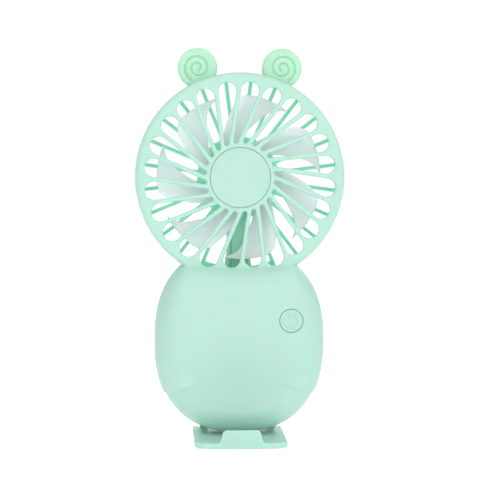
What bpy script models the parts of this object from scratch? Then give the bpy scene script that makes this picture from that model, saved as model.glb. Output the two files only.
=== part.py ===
"""A pocket fan: a caged round head with two ears, an egg-shaped grip and a folding foot.

Front is -Y and up is +Z, in metres.  Every shape is drawn about the parting plane between
the two shells, and the empty "fan" then moves them all, so that the origin is on the ground
in the middle of the footprint.  X is to the right of someone who faces the fan.
"""
import math

import bmesh
import bpy
from mathutils import Matrix, Vector

MM = 0.001

# Overall layout
PARTING_GAP = 0.3 * MM
WELD = 0.005 * MM
GAP = 0.3 * MM
WALL = 1.8 * MM
HEAD_Z = 129.7 * MM
GRIP_Z = 49.2 * MM
GRIP_DEPTH = 17.0 * MM

# Grip: a superellipse cut off at the top by a shallow arc, the neck crease
GRIP_HALF_WIDTH = 42.0 * MM
GRIP_HALF_HEIGHT = 46.0 * MM
GRIP_POWER = 2.4
NECK_DIP = 37.7 * MM
NECK_RADIUS = 200.0 * MM
EDGE_START = 3.0 * MM
EDGE_ROUND = 12.0 * MM
EDGE_STEPS = 5
SIDE_POINTS = 26
NECK_POINTS = 6
STEP_INSET = 0.8 * MM
STEP_HEIGHT = 31.5 * MM
STEP_DROP = 9.5 * MM

# Head
HEAD_R = 51.33 * MM
HEAD_WALL = 1.8 * MM
HEAD_FRONT = 10.0 * MM
HEAD_REAR = 12.5 * MM
GRILLE_THICK = 2.0 * MM
HEAD_SEGMENTS = 48
RIB_COUNT = 24
RIB_WIDTH = 2.1 * MM
RIB_OFFSET = 6.8 * MM
RIB_LEAD = math.radians(8.1)
SLOT_INNER = 16.8 * MM
SLOT_OUTER = 46.95 * MM
NECK_OVERLAP = 1.3 * MM
REAR_RIB_WIDTH = 1.8 * MM
REAR_HUB_R = 20.5 * MM
REAR_SLOT_OUTER = 49.0 * MM
HUB_CAP_R = 14.7 * MM
HUB_PLATE = 7.0 * MM
HUB_PEG_R = 2.5 * MM

# Ears
EAR_R = 9.7 * MM
EAR_THICK = 7.0 * MM
EAR_X = 20.8 * MM
EAR_UP = 53.75 * MM
EAR_TAB = (5.0 * MM, 2.0 * MM, 5.0 * MM)

# Impeller and motor
BLADE_COUNT = 7
BLADE_TIP_R = 40.7 * MM
BLADE_ROOT_R = 14.1 * MM
BLADE_SPAN = math.radians(30.0)
BLADE_SWEEP = math.radians(35.7)
BLADE_THICK = 1.3 * MM
BLADE_FRONT = -4.6 * MM
BLADE_REAR = 4.4 * MM
BLADE_STATIONS = 4
BLADE_CHORDS = 2
IMPELLER_HUB_R = 14.5 * MM
IMPELLER_FRONT = -6.4 * MM
IMPELLER_REAR = 2.0 * MM
IMPELLER_WALL = 1.4 * MM
MOTOR_R = 12.2 * MM
MOTOR_FRONT = -1.2 * MM
MOTOR_REAR = 9.3 * MM
MOTOR_WALL = 0.8 * MM
SHAFT_R = 1.0 * MM
SHAFT_FIT = 0.1 * MM
BUSH_R = 3.0 * MM
CUP_WALL = 1.2 * MM
CUP_FRONT = 2.6 * MM

# Wire conduit behind the impeller
CONDUIT_HALF = 5.75 * MM
CHANNEL_HALF = 3.9 * MM
CONDUIT_FRONT = 6.5 * MM
COVER_THICK = 1.4 * MM
WIRE_R = 0.65 * MM
WIRE_STEP = 2.6 * MM

# Grip contents
CELL_R = 9.2 * MM
CELL_X = -12.0 * MM
CELL_BOTTOM = 10.8 * MM
CELL_LENGTH = 65.0 * MM
BOARD_X = (6.5 * MM, 28.0 * MM)
BOARD_Z = (40.0 * MM, 74.0 * MM)
BOARD_FRONT = -9.6 * MM
BOARD_THICK = 1.2 * MM
BOARD_POSTS = ((25.4 * MM, 71.6 * MM), (10.5 * MM, 43.0 * MM))
BUTTON_R = 5.7 * MM
BUTTON_X = 24.7 * MM
BUTTON_Z = 60.1 * MM
BUTTON_FRONT = -17.4 * MM
BUTTON_FLANGE_R = 6.9 * MM
SOCKET_Z = 49.5 * MM
SOCKET_Y = -6.5 * MM
SOCKET_X = (29.5 * MM, 39.3 * MM)
UPPER_POST = (31.2 * MM, 66.0 * MM)
LOWER_POST = (26.2 * MM, 29.0 * MM)
SCREW_POSTS = [(side * x, z) for x, z in (UPPER_POST, LOWER_POST) for side in (1, -1)]
POST_DEPTH = 14.7 * MM
SCREW_HEAD_R = 2.2 * MM
SCREW_SHANK_R = 1.0 * MM
POST_R = 2.7 * MM

# Foot
PAD_DROP = 0.4 * MM
FOOT_THICK = 2.5 * MM
FOOT_HALF_WIDTH = 22.5 * MM
FOOT_FRONT = -31.0 * MM
FOOT_CORNER = 5.0 * MM
FOOT_BULGE = 0.6 * MM
LIP_THICK = 2.6 * MM
LIP_BASE = 11.9 * MM
LIP_WAIST = 9.8 * MM
LIP_TOP = 9.3 * MM
LIP_HEIGHT = 9.1 * MM
LIP_ROUND = 2.2 * MM
HINGE_Y = 15.6 * MM
PIN_R = 0.7 * MM
PIN_HALF = 21.5 * MM
KNUCKLE_R = FOOT_THICK / 2
HINGE_Z = PAD_DROP + KNUCKLE_R
LUG_X = (15.0 * MM, 19.0 * MM)
LUG_CLEAR = 3.7 * MM
RECESS_HALF = 23.1 * MM
RECESS_FLOOR = 13.4 * MM
RECESS_TOP = 50.6 * MM
PAD_HALF = (17.0 * MM, 15.0 * MM)
PAD_THICK = 1.0 * MM

FAN_Y = (-FOOT_FRONT + FOOT_BULGE - GRIP_DEPTH) / 2

FRONT = -1
REAR = 1

MINT = (0.53, 0.83, 0.70)
DEEP_MINT = (0.47, 0.85, 0.66)
FROSTED = (0.80, 0.86, 0.86)
STEEL = (0.56, 0.57, 0.58)
BRONZE = (0.48, 0.31, 0.16)
COPPER = (0.72, 0.39, 0.22)
NICKEL = (0.66, 0.64, 0.60)
CELL_WRAP = (0.12, 0.33, 0.55)
BOARD_GREEN = (0.02, 0.16, 0.07)
BLACK = (0.02, 0.02, 0.022)
FERRITE = (0.06, 0.06, 0.065)
CREAM = (0.75, 0.71, 0.60)
RED_WIRE = (0.55, 0.03, 0.02)
LAMP = (0.86, 0.90, 0.80)
RUBBER = (0.62, 0.78, 0.70)


# Building blocks

def clear_scene():
    for old in list(bpy.data.objects):
        bpy.data.objects.remove(old, do_unlink=True)


def material(name, colour, roughness, metallic):
    made = bpy.data.materials.new(name)
    made.use_nodes = True
    shader = made.node_tree.nodes["Principled BSDF"]
    shader.inputs["Base Color"].default_value = (*colour, 1.0)
    shader.inputs["Roughness"].default_value = roughness
    shader.inputs["Metallic"].default_value = metallic
    return made


def pivot(name, location, parent=None):
    empty = bpy.data.objects.new(name, None)
    bpy.context.scene.collection.objects.link(empty)
    empty.location = location
    empty.parent = parent
    return empty


def add_object(name, bm, parent, centre=Vector((0, 0, 0))):
    """Link a bmesh drawn about the parting plane; centre is where its parent empty stands."""
    bmesh.ops.recalc_face_normals(bm, faces=bm.faces)
    bmesh.ops.translate(bm, verts=bm.verts, vec=-centre)
    mesh = bpy.data.meshes.new(name)
    bm.to_mesh(mesh)
    bm.free()
    mesh.shade_smooth()
    mesh.set_sharp_from_angle(angle=math.radians(35))
    made = bpy.data.objects.new(name, mesh)
    bpy.context.scene.collection.objects.link(made)
    made.parent = parent
    return made


def finish_piece(made, colour, roughness=0.45, metallic=0.0):
    made.data.materials.append(material(made.name, colour, roughness, metallic))
    return made


def combine(target, tool, operation):
    """Join, cut or intersect the target with a tool solid, which is then only a guide.

    The weld closes the hair cracks that rounding leaves where two cuts meet.
    """
    step = target.modifiers.new(tool.name, "BOOLEAN")
    step.operation = operation
    step.solver = "EXACT"
    step.object = tool
    weld = target.modifiers.new(tool.name + "_weld", "WELD")
    weld.merge_threshold = WELD
    tool.hide_render = True
    tool.display_type = "WIRE"


def join(target, tool):
    combine(target, tool, "UNION")


def cut(target, tool):
    combine(target, tool, "DIFFERENCE")


def add_rings(bm, rings):
    """A closed solid through loops of the same length, with both ends filled."""
    loops = [[bm.verts.new(point) for point in ring] for ring in rings]
    for near, far in zip(loops, loops[1:]):
        for i in range(len(near)):
            j = (i + 1) % len(near)
            bm.faces.new((near[i], near[j], far[j], far[i]))
    bm.faces.new(loops[0])
    bm.faces.new(list(reversed(loops[-1])))


def add_prism(bm, outline, low, high):
    """Extrude an outline of (x, z) points along Y."""
    add_rings(bm, [[(x, y, z) for x, z in outline] for y in (low, high)])


def add_box(bm, low, high):
    (x0, y0, z0), (x1, y1, z1) = low, high
    add_prism(bm, [(x0, z0), (x1, z0), (x1, z1), (x0, z1)], y0, y1)


def add_turned(bm, profile, segments, centre=(0, 0, 0)):
    """Turn a closed profile of (radius, y) points about the Y axis through centre."""
    cx, cy, cz = centre
    rows = []
    for radius, y in profile:
        if radius == 0:
            rows.append([bm.verts.new((cx, cy + y, cz))])
            continue
        angles = [2 * math.pi * i / segments for i in range(segments)]
        ring = [(cx + radius * math.sin(a), cy + y, cz + radius * math.cos(a)) for a in angles]
        rows.append([bm.verts.new(point) for point in ring])
    closed = len(rows[0]) > 1
    pairs = list(zip(rows, rows[1:] + rows[:1])) if closed else list(zip(rows, rows[1:]))
    for near, far in pairs:
        for i in range(segments):
            j = (i + 1) % segments
            corners = [near[i % len(near)], near[j % len(near)], far[j % len(far)], far[i % len(far)]]
            bm.faces.new(list(dict.fromkeys(corners)))


def turned(name, profile, segments, parent, centre=(0, 0, 0), origin=Vector((0, 0, 0))):
    bm = bmesh.new()
    add_turned(bm, profile, segments, centre)
    return add_object(name, bm, parent, origin)


def ring_profile(inner, outer, low, high):
    return [(inner, low), (outer, low), (outer, high), (inner, high)]


def disc_profile(radius, low, high):
    return [(0, low), (radius, low), (radius, high), (0, high)]


def smooth_route(points, step):
    """Points about a step apart on a Catmull-Rom curve through the given points."""
    stops = [Vector(p) * MM for p in points]
    padded = [2 * stops[0] - stops[1]] + stops + [2 * stops[-1] - stops[-2]]
    route = [stops[0]]
    for before, start, end, after in zip(padded, padded[1:], padded[2:], padded[3:]):
        count = max(1, round((end - start).length / step))
        for i in range(1, count + 1):
            t = i / count
            pull = (end - before) * t + (2 * before - 5 * start + 4 * end - after) * t ** 2
            pull += (3 * start - before - 3 * end + after) * t ** 3
            route.append(start + pull / 2)
    return route


def wire(name, points, parent, colour):
    curve = bpy.data.curves.new(name, "CURVE")
    curve.dimensions = "3D"
    curve.bevel_depth = WIRE_R
    curve.bevel_resolution = 2
    curve.use_fill_caps = True
    route = smooth_route(points, WIRE_STEP)
    spline = curve.splines.new("POLY")
    spline.points.add(len(route) - 1)
    for place, point in zip(spline.points, route):
        place.co = (*point, 1.0)
    made = bpy.data.objects.new(name, curve)
    bpy.context.scene.collection.objects.link(made)
    made.parent = parent
    return finish_piece(made, colour, 0.5)


# Outlines

def superellipse_point(half_width, half_height, angle):
    cosine = math.cos(angle)
    sine = math.sin(angle)
    x = half_width * math.copysign(abs(cosine) ** (2 / GRIP_POWER), cosine)
    z = half_height * math.copysign(abs(sine) ** (2 / GRIP_POWER), sine)
    return x, z


def neck_height(x, neck):
    return neck + x * x / (2 * NECK_RADIUS)


def neck_corner(half_width, half_height, neck):
    """The angle at which the superellipse meets the neck crease."""
    low = 0.0
    high = math.pi / 2
    for _ in range(40):
        middle = (low + high) / 2
        x, z = superellipse_point(half_width, half_height, middle)
        if z < neck_height(x, neck):
            low = middle
        else:
            high = middle
    return low


def grip_outline(inset):
    """The grip seen from the front, drawn in by inset all round."""
    half_width = GRIP_HALF_WIDTH - inset
    half_height = GRIP_HALF_HEIGHT - inset
    neck = NECK_DIP - inset
    corner = neck_corner(half_width, half_height, neck)
    sweep = math.pi + 2 * corner
    points = []
    for i in range(SIDE_POINTS + 1):
        points.append(superellipse_point(half_width, half_height, corner - sweep * i / SIDE_POINTS))
    corner_x = points[0][0]
    for i in range(1, NECK_POINTS):
        x = corner_x * (2 * i / NECK_POINTS - 1)
        points.append((x, neck_height(x, neck)))
    return [(x, z + GRIP_Z) for x, z in points]


def grip_half(name, side, inset, edge_round, start, parent):
    """Half of the grip as one solid, from the plane y = start to its rounded face."""
    depth = GRIP_DEPTH - inset
    rings = [[(x, side * start, z) for x, z in grip_outline(inset)]]
    for k in range(EDGE_STEPS + 1):
        turn = math.pi / 2 * k / EDGE_STEPS
        y = side * (EDGE_START + (depth - EDGE_START) * math.sin(turn))
        outline = grip_outline(inset + edge_round * (1 - math.cos(turn)))
        rings.append([(x, y, z) for x, z in outline])
    bm = bmesh.new()
    add_rings(bm, rings)
    return add_object(name, bm, parent)


def polar(radius, angle):
    """A point in the head, with the angle clockwise from the top as seen from the front."""
    return radius * math.sin(angle), HEAD_Z + radius * math.cos(angle)


def rib_direction(index):
    return RIB_LEAD + 2 * math.pi * index / RIB_COUNT


def slot_circle(index, reach, side):
    """The circle that rounds one end of a slot: it touches both ribs and the radius reach."""
    half_pitch = math.pi / RIB_COUNT
    low = RIB_OFFSET * 1.05
    high = HEAD_R
    for _ in range(40):
        middle = (low + high) / 2
        lean = math.asin(min(1.0, RIB_OFFSET / (middle * math.cos(half_pitch))))
        radius = middle * math.sin(lean + half_pitch) - RIB_OFFSET - RIB_WIDTH / 2
        if middle + side * radius < reach:
            low = middle
        else:
            high = middle
    x, z = polar(middle, rib_direction(index) + half_pitch - lean)
    return x, z, radius


def arc_points(centre_x, centre_z, radius, start, sweep, count):
    """Points round a circle; angles are clockwise from +Z."""
    angles = [start + sweep * i / count for i in range(count + 1)]
    return [(centre_x + radius * math.sin(a), centre_z + radius * math.cos(a)) for a in angles]


def slot_reach(angle, usual):
    """How far out a slot may run: the slots above the neck crease are shorter."""
    drop = HEAD_Z - GRIP_Z - NECK_DIP
    down = -math.cos(angle)
    if down < 0.7:
        return usual
    bow = math.sin(angle) ** 2 / (2 * NECK_RADIUS)
    reach = drop / down if bow * drop < 1e-6 else (math.sqrt(down ** 2 + 4 * bow * drop) - down) / (2 * bow)
    return min(usual, reach + NECK_OVERLAP)


def front_slot(index):
    """The outline of one slot between two slanted ribs, with both ends rounded."""
    pitch = 2 * math.pi / RIB_COUNT
    direction = rib_direction(index)
    outer = slot_reach(direction + pitch / 2 - RIB_LEAD, SLOT_OUTER)
    ox, oz, outer_r = slot_circle(index, outer, 1)
    ix, iz, inner_r = slot_circle(index, SLOT_INNER, -1)
    quarter = math.pi / 2
    points = arc_points(ox, oz, outer_r, direction - quarter, math.pi + pitch, 6)
    points += arc_points(ix, iz, inner_r, direction + pitch + quarter, math.pi - pitch, 2)
    return points


def rear_slot(index):
    """The outline of one wedge-shaped slot between two radial ribs."""
    pitch = 2 * math.pi / RIB_COUNT
    middle = pitch * index
    outer = slot_reach(middle, REAR_SLOT_OUTER)
    inner_half = pitch / 2 - REAR_RIB_WIDTH / 2 / REAR_HUB_R
    outer_half = pitch / 2 - REAR_RIB_WIDTH / 2 / outer
    points = [polar(REAR_HUB_R, middle + inner_half * t) for t in (-1, 1)]
    shoulder = outer - 2 * MM
    points += [polar(shoulder, middle + outer_half)]
    points += [polar(outer, middle + outer_half * t) for t in (0.7, 0, -0.7)]
    points += [polar(shoulder, middle - outer_half)]
    return points


# Shells

def step_block(name, side, parent):
    """The space above the step line, which arches up at the middle of each face."""
    reach = 50 * MM
    bm = bmesh.new()
    count = 10
    outline = []
    for i in range(count + 1):
        x = reach * (2 * i / count - 1)
        outline.append((x, STEP_HEIGHT - STEP_DROP * (x / (GRIP_HALF_WIDTH - STEP_INSET)) ** 2))
    outline += [(reach, GRIP_Z + 60 * MM), (-reach, GRIP_Z + 60 * MM)]
    add_prism(bm, outline, side * -1 * MM, side * 30 * MM)
    return add_object(name, bm, parent)


def head_drum(name, side, face, radius, start, parent):
    """A drum for one half of the head, with a rounded outer edge."""
    soft = 2.6 * MM
    profile = [(0, side * start), (radius, side * start)]
    for k in range(3):
        turn = math.pi / 2 * k / 2
        profile.append((radius - soft * (1 - math.cos(turn)), side * (face - soft + soft * math.sin(turn))))
    profile.append((0, side * face))
    return turned(name, profile, HEAD_SEGMENTS, parent, (0, 0, HEAD_Z))


def shell_half(name, side, face, parent):
    """The outer skin and the two hollows that both shells share."""
    shell = grip_half(name, side, STEP_INSET, EDGE_ROUND, PARTING_GAP / 2, parent)
    band = grip_half(name + "_band", side, 0, EDGE_ROUND, PARTING_GAP / 2, parent)
    combine(band, step_block(name + "_step", side, parent), "INTERSECT")
    join(shell, band)
    join(shell, head_drum(name + "_drum", side, face, HEAD_R, PARTING_GAP / 2, parent))
    hollow = grip_half(name + "_hollow", side, STEP_INSET + WALL, EDGE_ROUND - WALL, -1 * MM, parent)
    keep = disc_profile(HEAD_R + GAP, -30 * MM, 30 * MM)
    cut(hollow, turned(name + "_keep", keep, HEAD_SEGMENTS, parent, (0, 0, HEAD_Z)))
    if side == REAR:
        pocket = recess_block("recess_wall", WALL, parent)
        cut(hollow, pocket)
    cut(shell, hollow)
    inner = disc_profile(HEAD_R - HEAD_WALL, side * -1 * MM, side * (face - GRILLE_THICK))
    cut(shell, turned(name + "_bore", inner, HEAD_SEGMENTS, parent, (0, 0, HEAD_Z)))
    return shell


def recess_block(name, grow, parent):
    """The pocket in the rear shell that the folded foot lies in."""
    bm = bmesh.new()
    low = (-RECESS_HALF - grow, RECESS_FLOOR - grow, -10 * MM)
    high = (RECESS_HALF + grow, 40 * MM, RECESS_TOP + grow)
    add_box(bm, low, high)
    return add_object(name, bm, parent)


def slots(name, outline_of, low, high, parent):
    bm = bmesh.new()
    for index in range(RIB_COUNT):
        add_prism(bm, outline_of(index), low, high)
    return add_object(name, bm, parent)


def posts(name, places, radius, low, high, segments, parent):
    """Round posts or holes along Y at (x, z) places."""
    bm = bmesh.new()
    for x, z in places:
        add_turned(bm, disc_profile(radius, low, high), segments, (x, 0, z))
    return add_object(name, bm, parent)


def ear_notches(name, parent):
    bm = bmesh.new()
    for side in (-1, 1):
        add_tab(bm, side, GAP)
    return add_object(name, bm, parent)


def add_tab(bm, side, grow):
    """The tongue of an ear, which the two shells trap between them."""
    width, depth, length = (size / 2 for size in EAR_TAB)
    start = len(bm.verts)
    add_box(bm, (-width - grow, -depth - grow, -length - grow), (width + grow, depth + grow, length + grow))
    bm.verts.ensure_lookup_table()
    tilt = math.atan2(side * EAR_X, EAR_UP)
    middle = HEAD_R + 0.6 * MM
    x, z = polar(middle, tilt)
    move = Matrix.Translation((x, 0, z)) @ Matrix.Rotation(tilt, 4, "Y")
    bmesh.ops.transform(bm, matrix=move, verts=bm.verts[start:])


def build_front_shell(parent):
    shell = shell_half("front_shell", FRONT, HEAD_FRONT, parent)
    cut(shell, slots("front_slots", front_slot, -30 * MM, -1 * MM, parent))
    hub_back = disc_profile(HUB_CAP_R + 1.2 * MM, -8.5 * MM, -HUB_PLATE)
    join(shell, turned("hub_back", hub_back, 36, parent, (0, 0, HEAD_Z)))
    seat = disc_profile(HUB_CAP_R + GAP, -12 * MM, -8.7 * MM)
    cut(shell, turned("hub_seat", seat, 36, parent, (0, 0, HEAD_Z)))
    cut(shell, posts("hub_peg_hole", [(0, HEAD_Z)], HUB_PEG_R + GAP, -12 * MM, -5 * MM, 16, parent))
    join(shell, cradle(parent))
    join(shell, posts("front_posts", SCREW_POSTS, POST_R, -POST_DEPTH, -PARTING_GAP / 2, 10, parent))
    cut(shell, posts("pilot_holes", SCREW_POSTS, SCREW_SHANK_R + GAP, -13.5 * MM, 1 * MM, 8, parent))
    join(shell, posts("board_posts", BOARD_POSTS, 2.2 * MM, -15.6 * MM, BOARD_FRONT - GAP, 8, parent))
    cut(shell, posts("board_pilots", BOARD_POSTS, 0.9 * MM, -14 * MM, -5 * MM, 6, parent))
    hole = [(BUTTON_X, BUTTON_Z)]
    cut(shell, posts("button_hole", hole, BUTTON_R + GAP, -20 * MM, -12 * MM, 28, parent))
    cut(shell, posts("button_seat", hole, BUTTON_FLANGE_R + GAP, -15.2 * MM, -12 * MM, 28, parent))
    cut(shell, socket_hole(parent))
    cut(shell, ear_notches("front_ear_notches", parent))
    return finish_piece(shell, MINT)


def cradle(parent):
    """Two saddles that hold the cell."""
    bm = bmesh.new()
    for z in (24 * MM, 58 * MM):
        low = (CELL_X - 8 * MM, -15.6 * MM, z)
        high = (CELL_X + 8 * MM, -5.5 * MM, z + 2 * MM)
        add_box(bm, low, high)
    made = add_object("cradle", bm, parent)
    clearance = bmesh.new()
    add_upright(clearance, CELL_R + GAP, CELL_BOTTOM - GAP, CELL_BOTTOM + CELL_LENGTH + GAP, 24, CELL_X, 0)
    cut(made, add_object("cell_clearance", clearance, parent))
    return made


def add_upright(bm, radius, low, high, segments, x, y):
    """A round bar along Z."""
    angles = [2 * math.pi * i / segments for i in range(segments)]
    ring = [(x + radius * math.cos(a), y + radius * math.sin(a)) for a in angles]
    add_rings(bm, [[(px, py, z) for px, py in ring] for z in (low, high)])


def stadium(half_length, half_height, steps):
    """A slot shape of (y, z) points, long along Z."""
    straight = half_length - half_height
    points = []
    for end, turn in ((1, 0), (-1, math.pi)):
        for i in range(steps + 1):
            angle = turn + math.pi * i / steps
            points.append((half_height * math.cos(angle), end * straight + half_height * math.sin(angle)))
    return points


def add_stadium(bm, half_length, half_height, low, high):
    ring = stadium(half_length, half_height, 4)
    add_rings(bm, [[(x, SOCKET_Y + y, SOCKET_Z + z) for y, z in ring] for x in (low, high)])


def socket_hole(parent):
    bm = bmesh.new()
    add_stadium(bm, 4.9 * MM, 1.9 * MM, 36 * MM, 46 * MM)
    return add_object("socket_hole", bm, parent)


def build_rear_shell(parent):
    shell = shell_half("rear_shell", REAR, HEAD_REAR, parent)
    cut(shell, slots("rear_slots", rear_slot, 3 * MM, 30 * MM, parent))
    cup = ring_profile(MOTOR_R + GAP, MOTOR_R + GAP + CUP_WALL, CUP_FRONT, HEAD_REAR - 1 * MM)
    join(shell, turned("motor_cup", cup, 28, parent, (0, 0, HEAD_Z)))
    join(shell, conduit(parent))
    cut(shell, channel(parent))
    cut(shell, recess_block("recess", 0, parent))
    join(shell, lugs(parent))
    cut(shell, pin_bar("lug_bore", PIN_R + 0.15 * MM, 30 * MM, parent))
    join(shell, posts("rear_posts", SCREW_POSTS, POST_R + 0.6 * MM, PARTING_GAP / 2, POST_DEPTH, 10, parent))
    cut(shell, posts("screw_holes", SCREW_POSTS, SCREW_SHANK_R + GAP, -1 * MM, 30 * MM, 8, parent))
    cut(shell, posts("head_sinks", SCREW_POSTS, SCREW_HEAD_R + GAP, 12.6 * MM, 30 * MM, 10, parent))
    motor = motor_screw_places()
    cut(shell, posts("motor_holes", motor, 1.1 * MM, 8 * MM, 30 * MM, 8, parent))
    cut(shell, posts("motor_sinks", motor, 2.0 * MM, 11.5 * MM, 30 * MM, 10, parent))
    cut(shell, ear_notches("rear_ear_notches", parent))
    return finish_piece(shell, MINT)


def conduit(parent):
    bm = bmesh.new()
    low = (-CONDUIT_HALF, CONDUIT_FRONT, HEAD_Z - HEAD_R + 1 * MM)
    high = (CONDUIT_HALF, HEAD_REAR, HEAD_Z - MOTOR_R - 1 * MM)
    add_box(bm, low, high)
    return add_object("conduit", bm, parent)


def channel(parent):
    bm = bmesh.new()
    low = (-CHANNEL_HALF, CONDUIT_FRONT - 1 * MM, HEAD_Z - HEAD_R - 6 * MM)
    high = (CHANNEL_HALF, HEAD_REAR - GRILLE_THICK, HEAD_Z - MOTOR_R)
    add_box(bm, low, high)
    return add_object("channel", bm, parent)


def lugs(parent):
    """Two arms that carry the hinge pin, leaning back from the grip's lower rear edge."""
    bm = bmesh.new()
    radius = KNUCKLE_R
    reach = 8.5 * MM
    slant = math.pi / 4
    back = reach * math.cos(slant)
    for side in (-1, 1):
        turns = [slant + math.pi * (i / 6 - 1) for i in range(7)]
        ring = [(HINGE_Y + radius * math.cos(turn), HINGE_Z + radius * math.sin(turn)) for turn in turns]
        ring.append((ring[-1][0] - back, ring[-1][1] + back))
        ring.append((ring[0][0] - back, ring[0][1] + back))
        rings = [[(side * x, y, z) for y, z in ring] for x in LUG_X]
        add_rings(bm, rings)
    return add_object("lugs", bm, parent)


def pin_bar(name, radius, half_length, parent, origin=Vector((0, 0, 0))):
    bm = bmesh.new()
    angles = [2 * math.pi * i / 12 for i in range(12)]
    ring = [(HINGE_Y + radius * math.cos(a), HINGE_Z + radius * math.sin(a)) for a in angles]
    add_rings(bm, [[(x, y, z) for y, z in ring] for x in (-half_length, half_length)])
    return add_object(name, bm, parent, origin)


# Trim

def build_hub_cap(parent):
    profile = [(0, -10.4 * MM), (9 * MM, -10.35 * MM), (HUB_CAP_R - 1 * MM, -10.2 * MM)]
    profile += [(HUB_CAP_R, -9.7 * MM), (HUB_CAP_R, -9.0 * MM)]
    profile += [(HUB_PEG_R, -9.0 * MM), (HUB_PEG_R, -7.2 * MM), (0, -7.2 * MM)]
    return finish_piece(turned("hub_cap", profile, 36, parent, (0, 0, HEAD_Z)), MINT)


def build_ear(name, side, parent):
    half = EAR_THICK / 2
    soft = 1.4 * MM
    profile = [(0, -half), (EAR_R - soft, -half), (EAR_R - 0.4 * MM, -half + 0.4 * MM), (EAR_R, -half + soft)]
    profile += [(radius, -y) for radius, y in reversed(profile)]
    ear = turned(name, profile, 32, parent, (side * EAR_X, 0, HEAD_Z + EAR_UP))
    rim = disc_profile(HEAD_R + GAP, -20 * MM, 20 * MM)
    cut(ear, turned(name + "_seat", rim, HEAD_SEGMENTS, parent, (0, 0, HEAD_Z)))
    bm = bmesh.new()
    add_tab(bm, side, 0)
    join(ear, add_object(name + "_tab", bm, parent))
    return finish_piece(ear, DEEP_MINT)


# Impeller and motor

def blade_point(radius, across, index):
    """A point on a blade's middle surface; across runs from 0 (trailing) to 1 (leading)."""
    sweep = BLADE_SWEEP * math.log(radius / BLADE_TIP_R)
    angle = 2 * math.pi * index / BLADE_COUNT + sweep + BLADE_SPAN * across
    x, z = polar(radius, angle)
    return Vector((x, BLADE_FRONT + (BLADE_REAR - BLADE_FRONT) * across, z))


def add_blade(bm, index):
    rings = []
    for k in range(BLADE_STATIONS + 1):
        radius = BLADE_ROOT_R + (BLADE_TIP_R - BLADE_ROOT_R) * k / BLADE_STATIONS
        line = [blade_point(radius, i / BLADE_CHORDS, index) for i in range(BLADE_CHORDS + 1)]
        half = Vector((0, BLADE_THICK / 2, 0))
        rings.append([point - half for point in line] + [point + half for point in reversed(line)])
    add_rings(bm, rings)


def build_impeller(axis, centre):
    wall = IMPELLER_WALL
    profile = [(SHAFT_R + SHAFT_FIT, IMPELLER_FRONT), (IMPELLER_HUB_R - 1 * MM, IMPELLER_FRONT)]
    profile += [(IMPELLER_HUB_R, IMPELLER_FRONT + 1 * MM), (IMPELLER_HUB_R, IMPELLER_REAR)]
    profile += [(IMPELLER_HUB_R - wall, IMPELLER_REAR), (IMPELLER_HUB_R - wall, IMPELLER_FRONT + wall)]
    profile += [(2.6 * MM, IMPELLER_FRONT + wall), (2.6 * MM, -1.9 * MM), (SHAFT_R + SHAFT_FIT, -1.9 * MM)]
    hub = turned("impeller", profile, 36, axis, centre, centre)
    bm = bmesh.new()
    for index in range(BLADE_COUNT):
        add_blade(bm, index)
    join(hub, add_object("blades", bm, axis, centre))
    return finish_piece(hub, FROSTED, 0.5)


def build_motor(parent, axis, centre):
    inner = MOTOR_R - MOTOR_WALL
    front = MOTOR_FRONT
    can = [(BUSH_R + 0.2 * MM, front), (MOTOR_R, front), (MOTOR_R, MOTOR_REAR), (inner, MOTOR_REAR)]
    can += [(inner, front + MOTOR_WALL), (BUSH_R + 0.2 * MM, front + MOTOR_WALL)]
    finish_piece(turned("motor_can", can, 24, parent, centre), STEEL, 0.3, 1.0)
    end = ring_profile(BUSH_R + 0.2 * MM, inner - GAP, 7.9 * MM, 9.2 * MM)
    cap = turned("motor_end_cap", end, 24, parent, centre)
    cut(cap, posts("cap_holes", motor_screw_places(), 1.1 * MM, 5 * MM, 12 * MM, 8, parent))
    finish_piece(cap, CREAM, 0.5)
    magnet = ring_profile(9.6 * MM, inner - GAP, 0.4 * MM, 7.2 * MM)
    finish_piece(turned("motor_magnet", magnet, 24, parent, centre), FERRITE, 0.6)
    for name, low, high in (("front_bush", -1.5 * MM, 0.1 * MM), ("rear_bush", 7.7 * MM, 9.4 * MM)):
        bush = ring_profile(SHAFT_R + SHAFT_FIT, BUSH_R, low, high)
        finish_piece(turned(name, bush, 16, parent, centre), BRONZE, 0.4, 1.0)
    rotor = ring_profile(SHAFT_R + SHAFT_FIT, 9.2 * MM, 1.0 * MM, 6.8 * MM)
    finish_piece(turned("motor_rotor", rotor, 16, axis, centre, centre), COPPER, 0.4, 1.0)
    shaft = disc_profile(SHAFT_R, -6.2 * MM, 9.9 * MM)
    finish_piece(turned("motor_shaft", shaft, 16, axis, centre, centre), STEEL, 0.2, 1.0)
    for number, place in enumerate(motor_screw_places(), 1):
        screw(f"motor_screw_{number}", place, (12.3 * MM, 11.5 * MM, 8.0 * MM), (1.7 * MM, 0.8 * MM), parent)


def motor_screw_places():
    return [(side * 7 * MM, HEAD_Z) for side in (-1, 1)]


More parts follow.
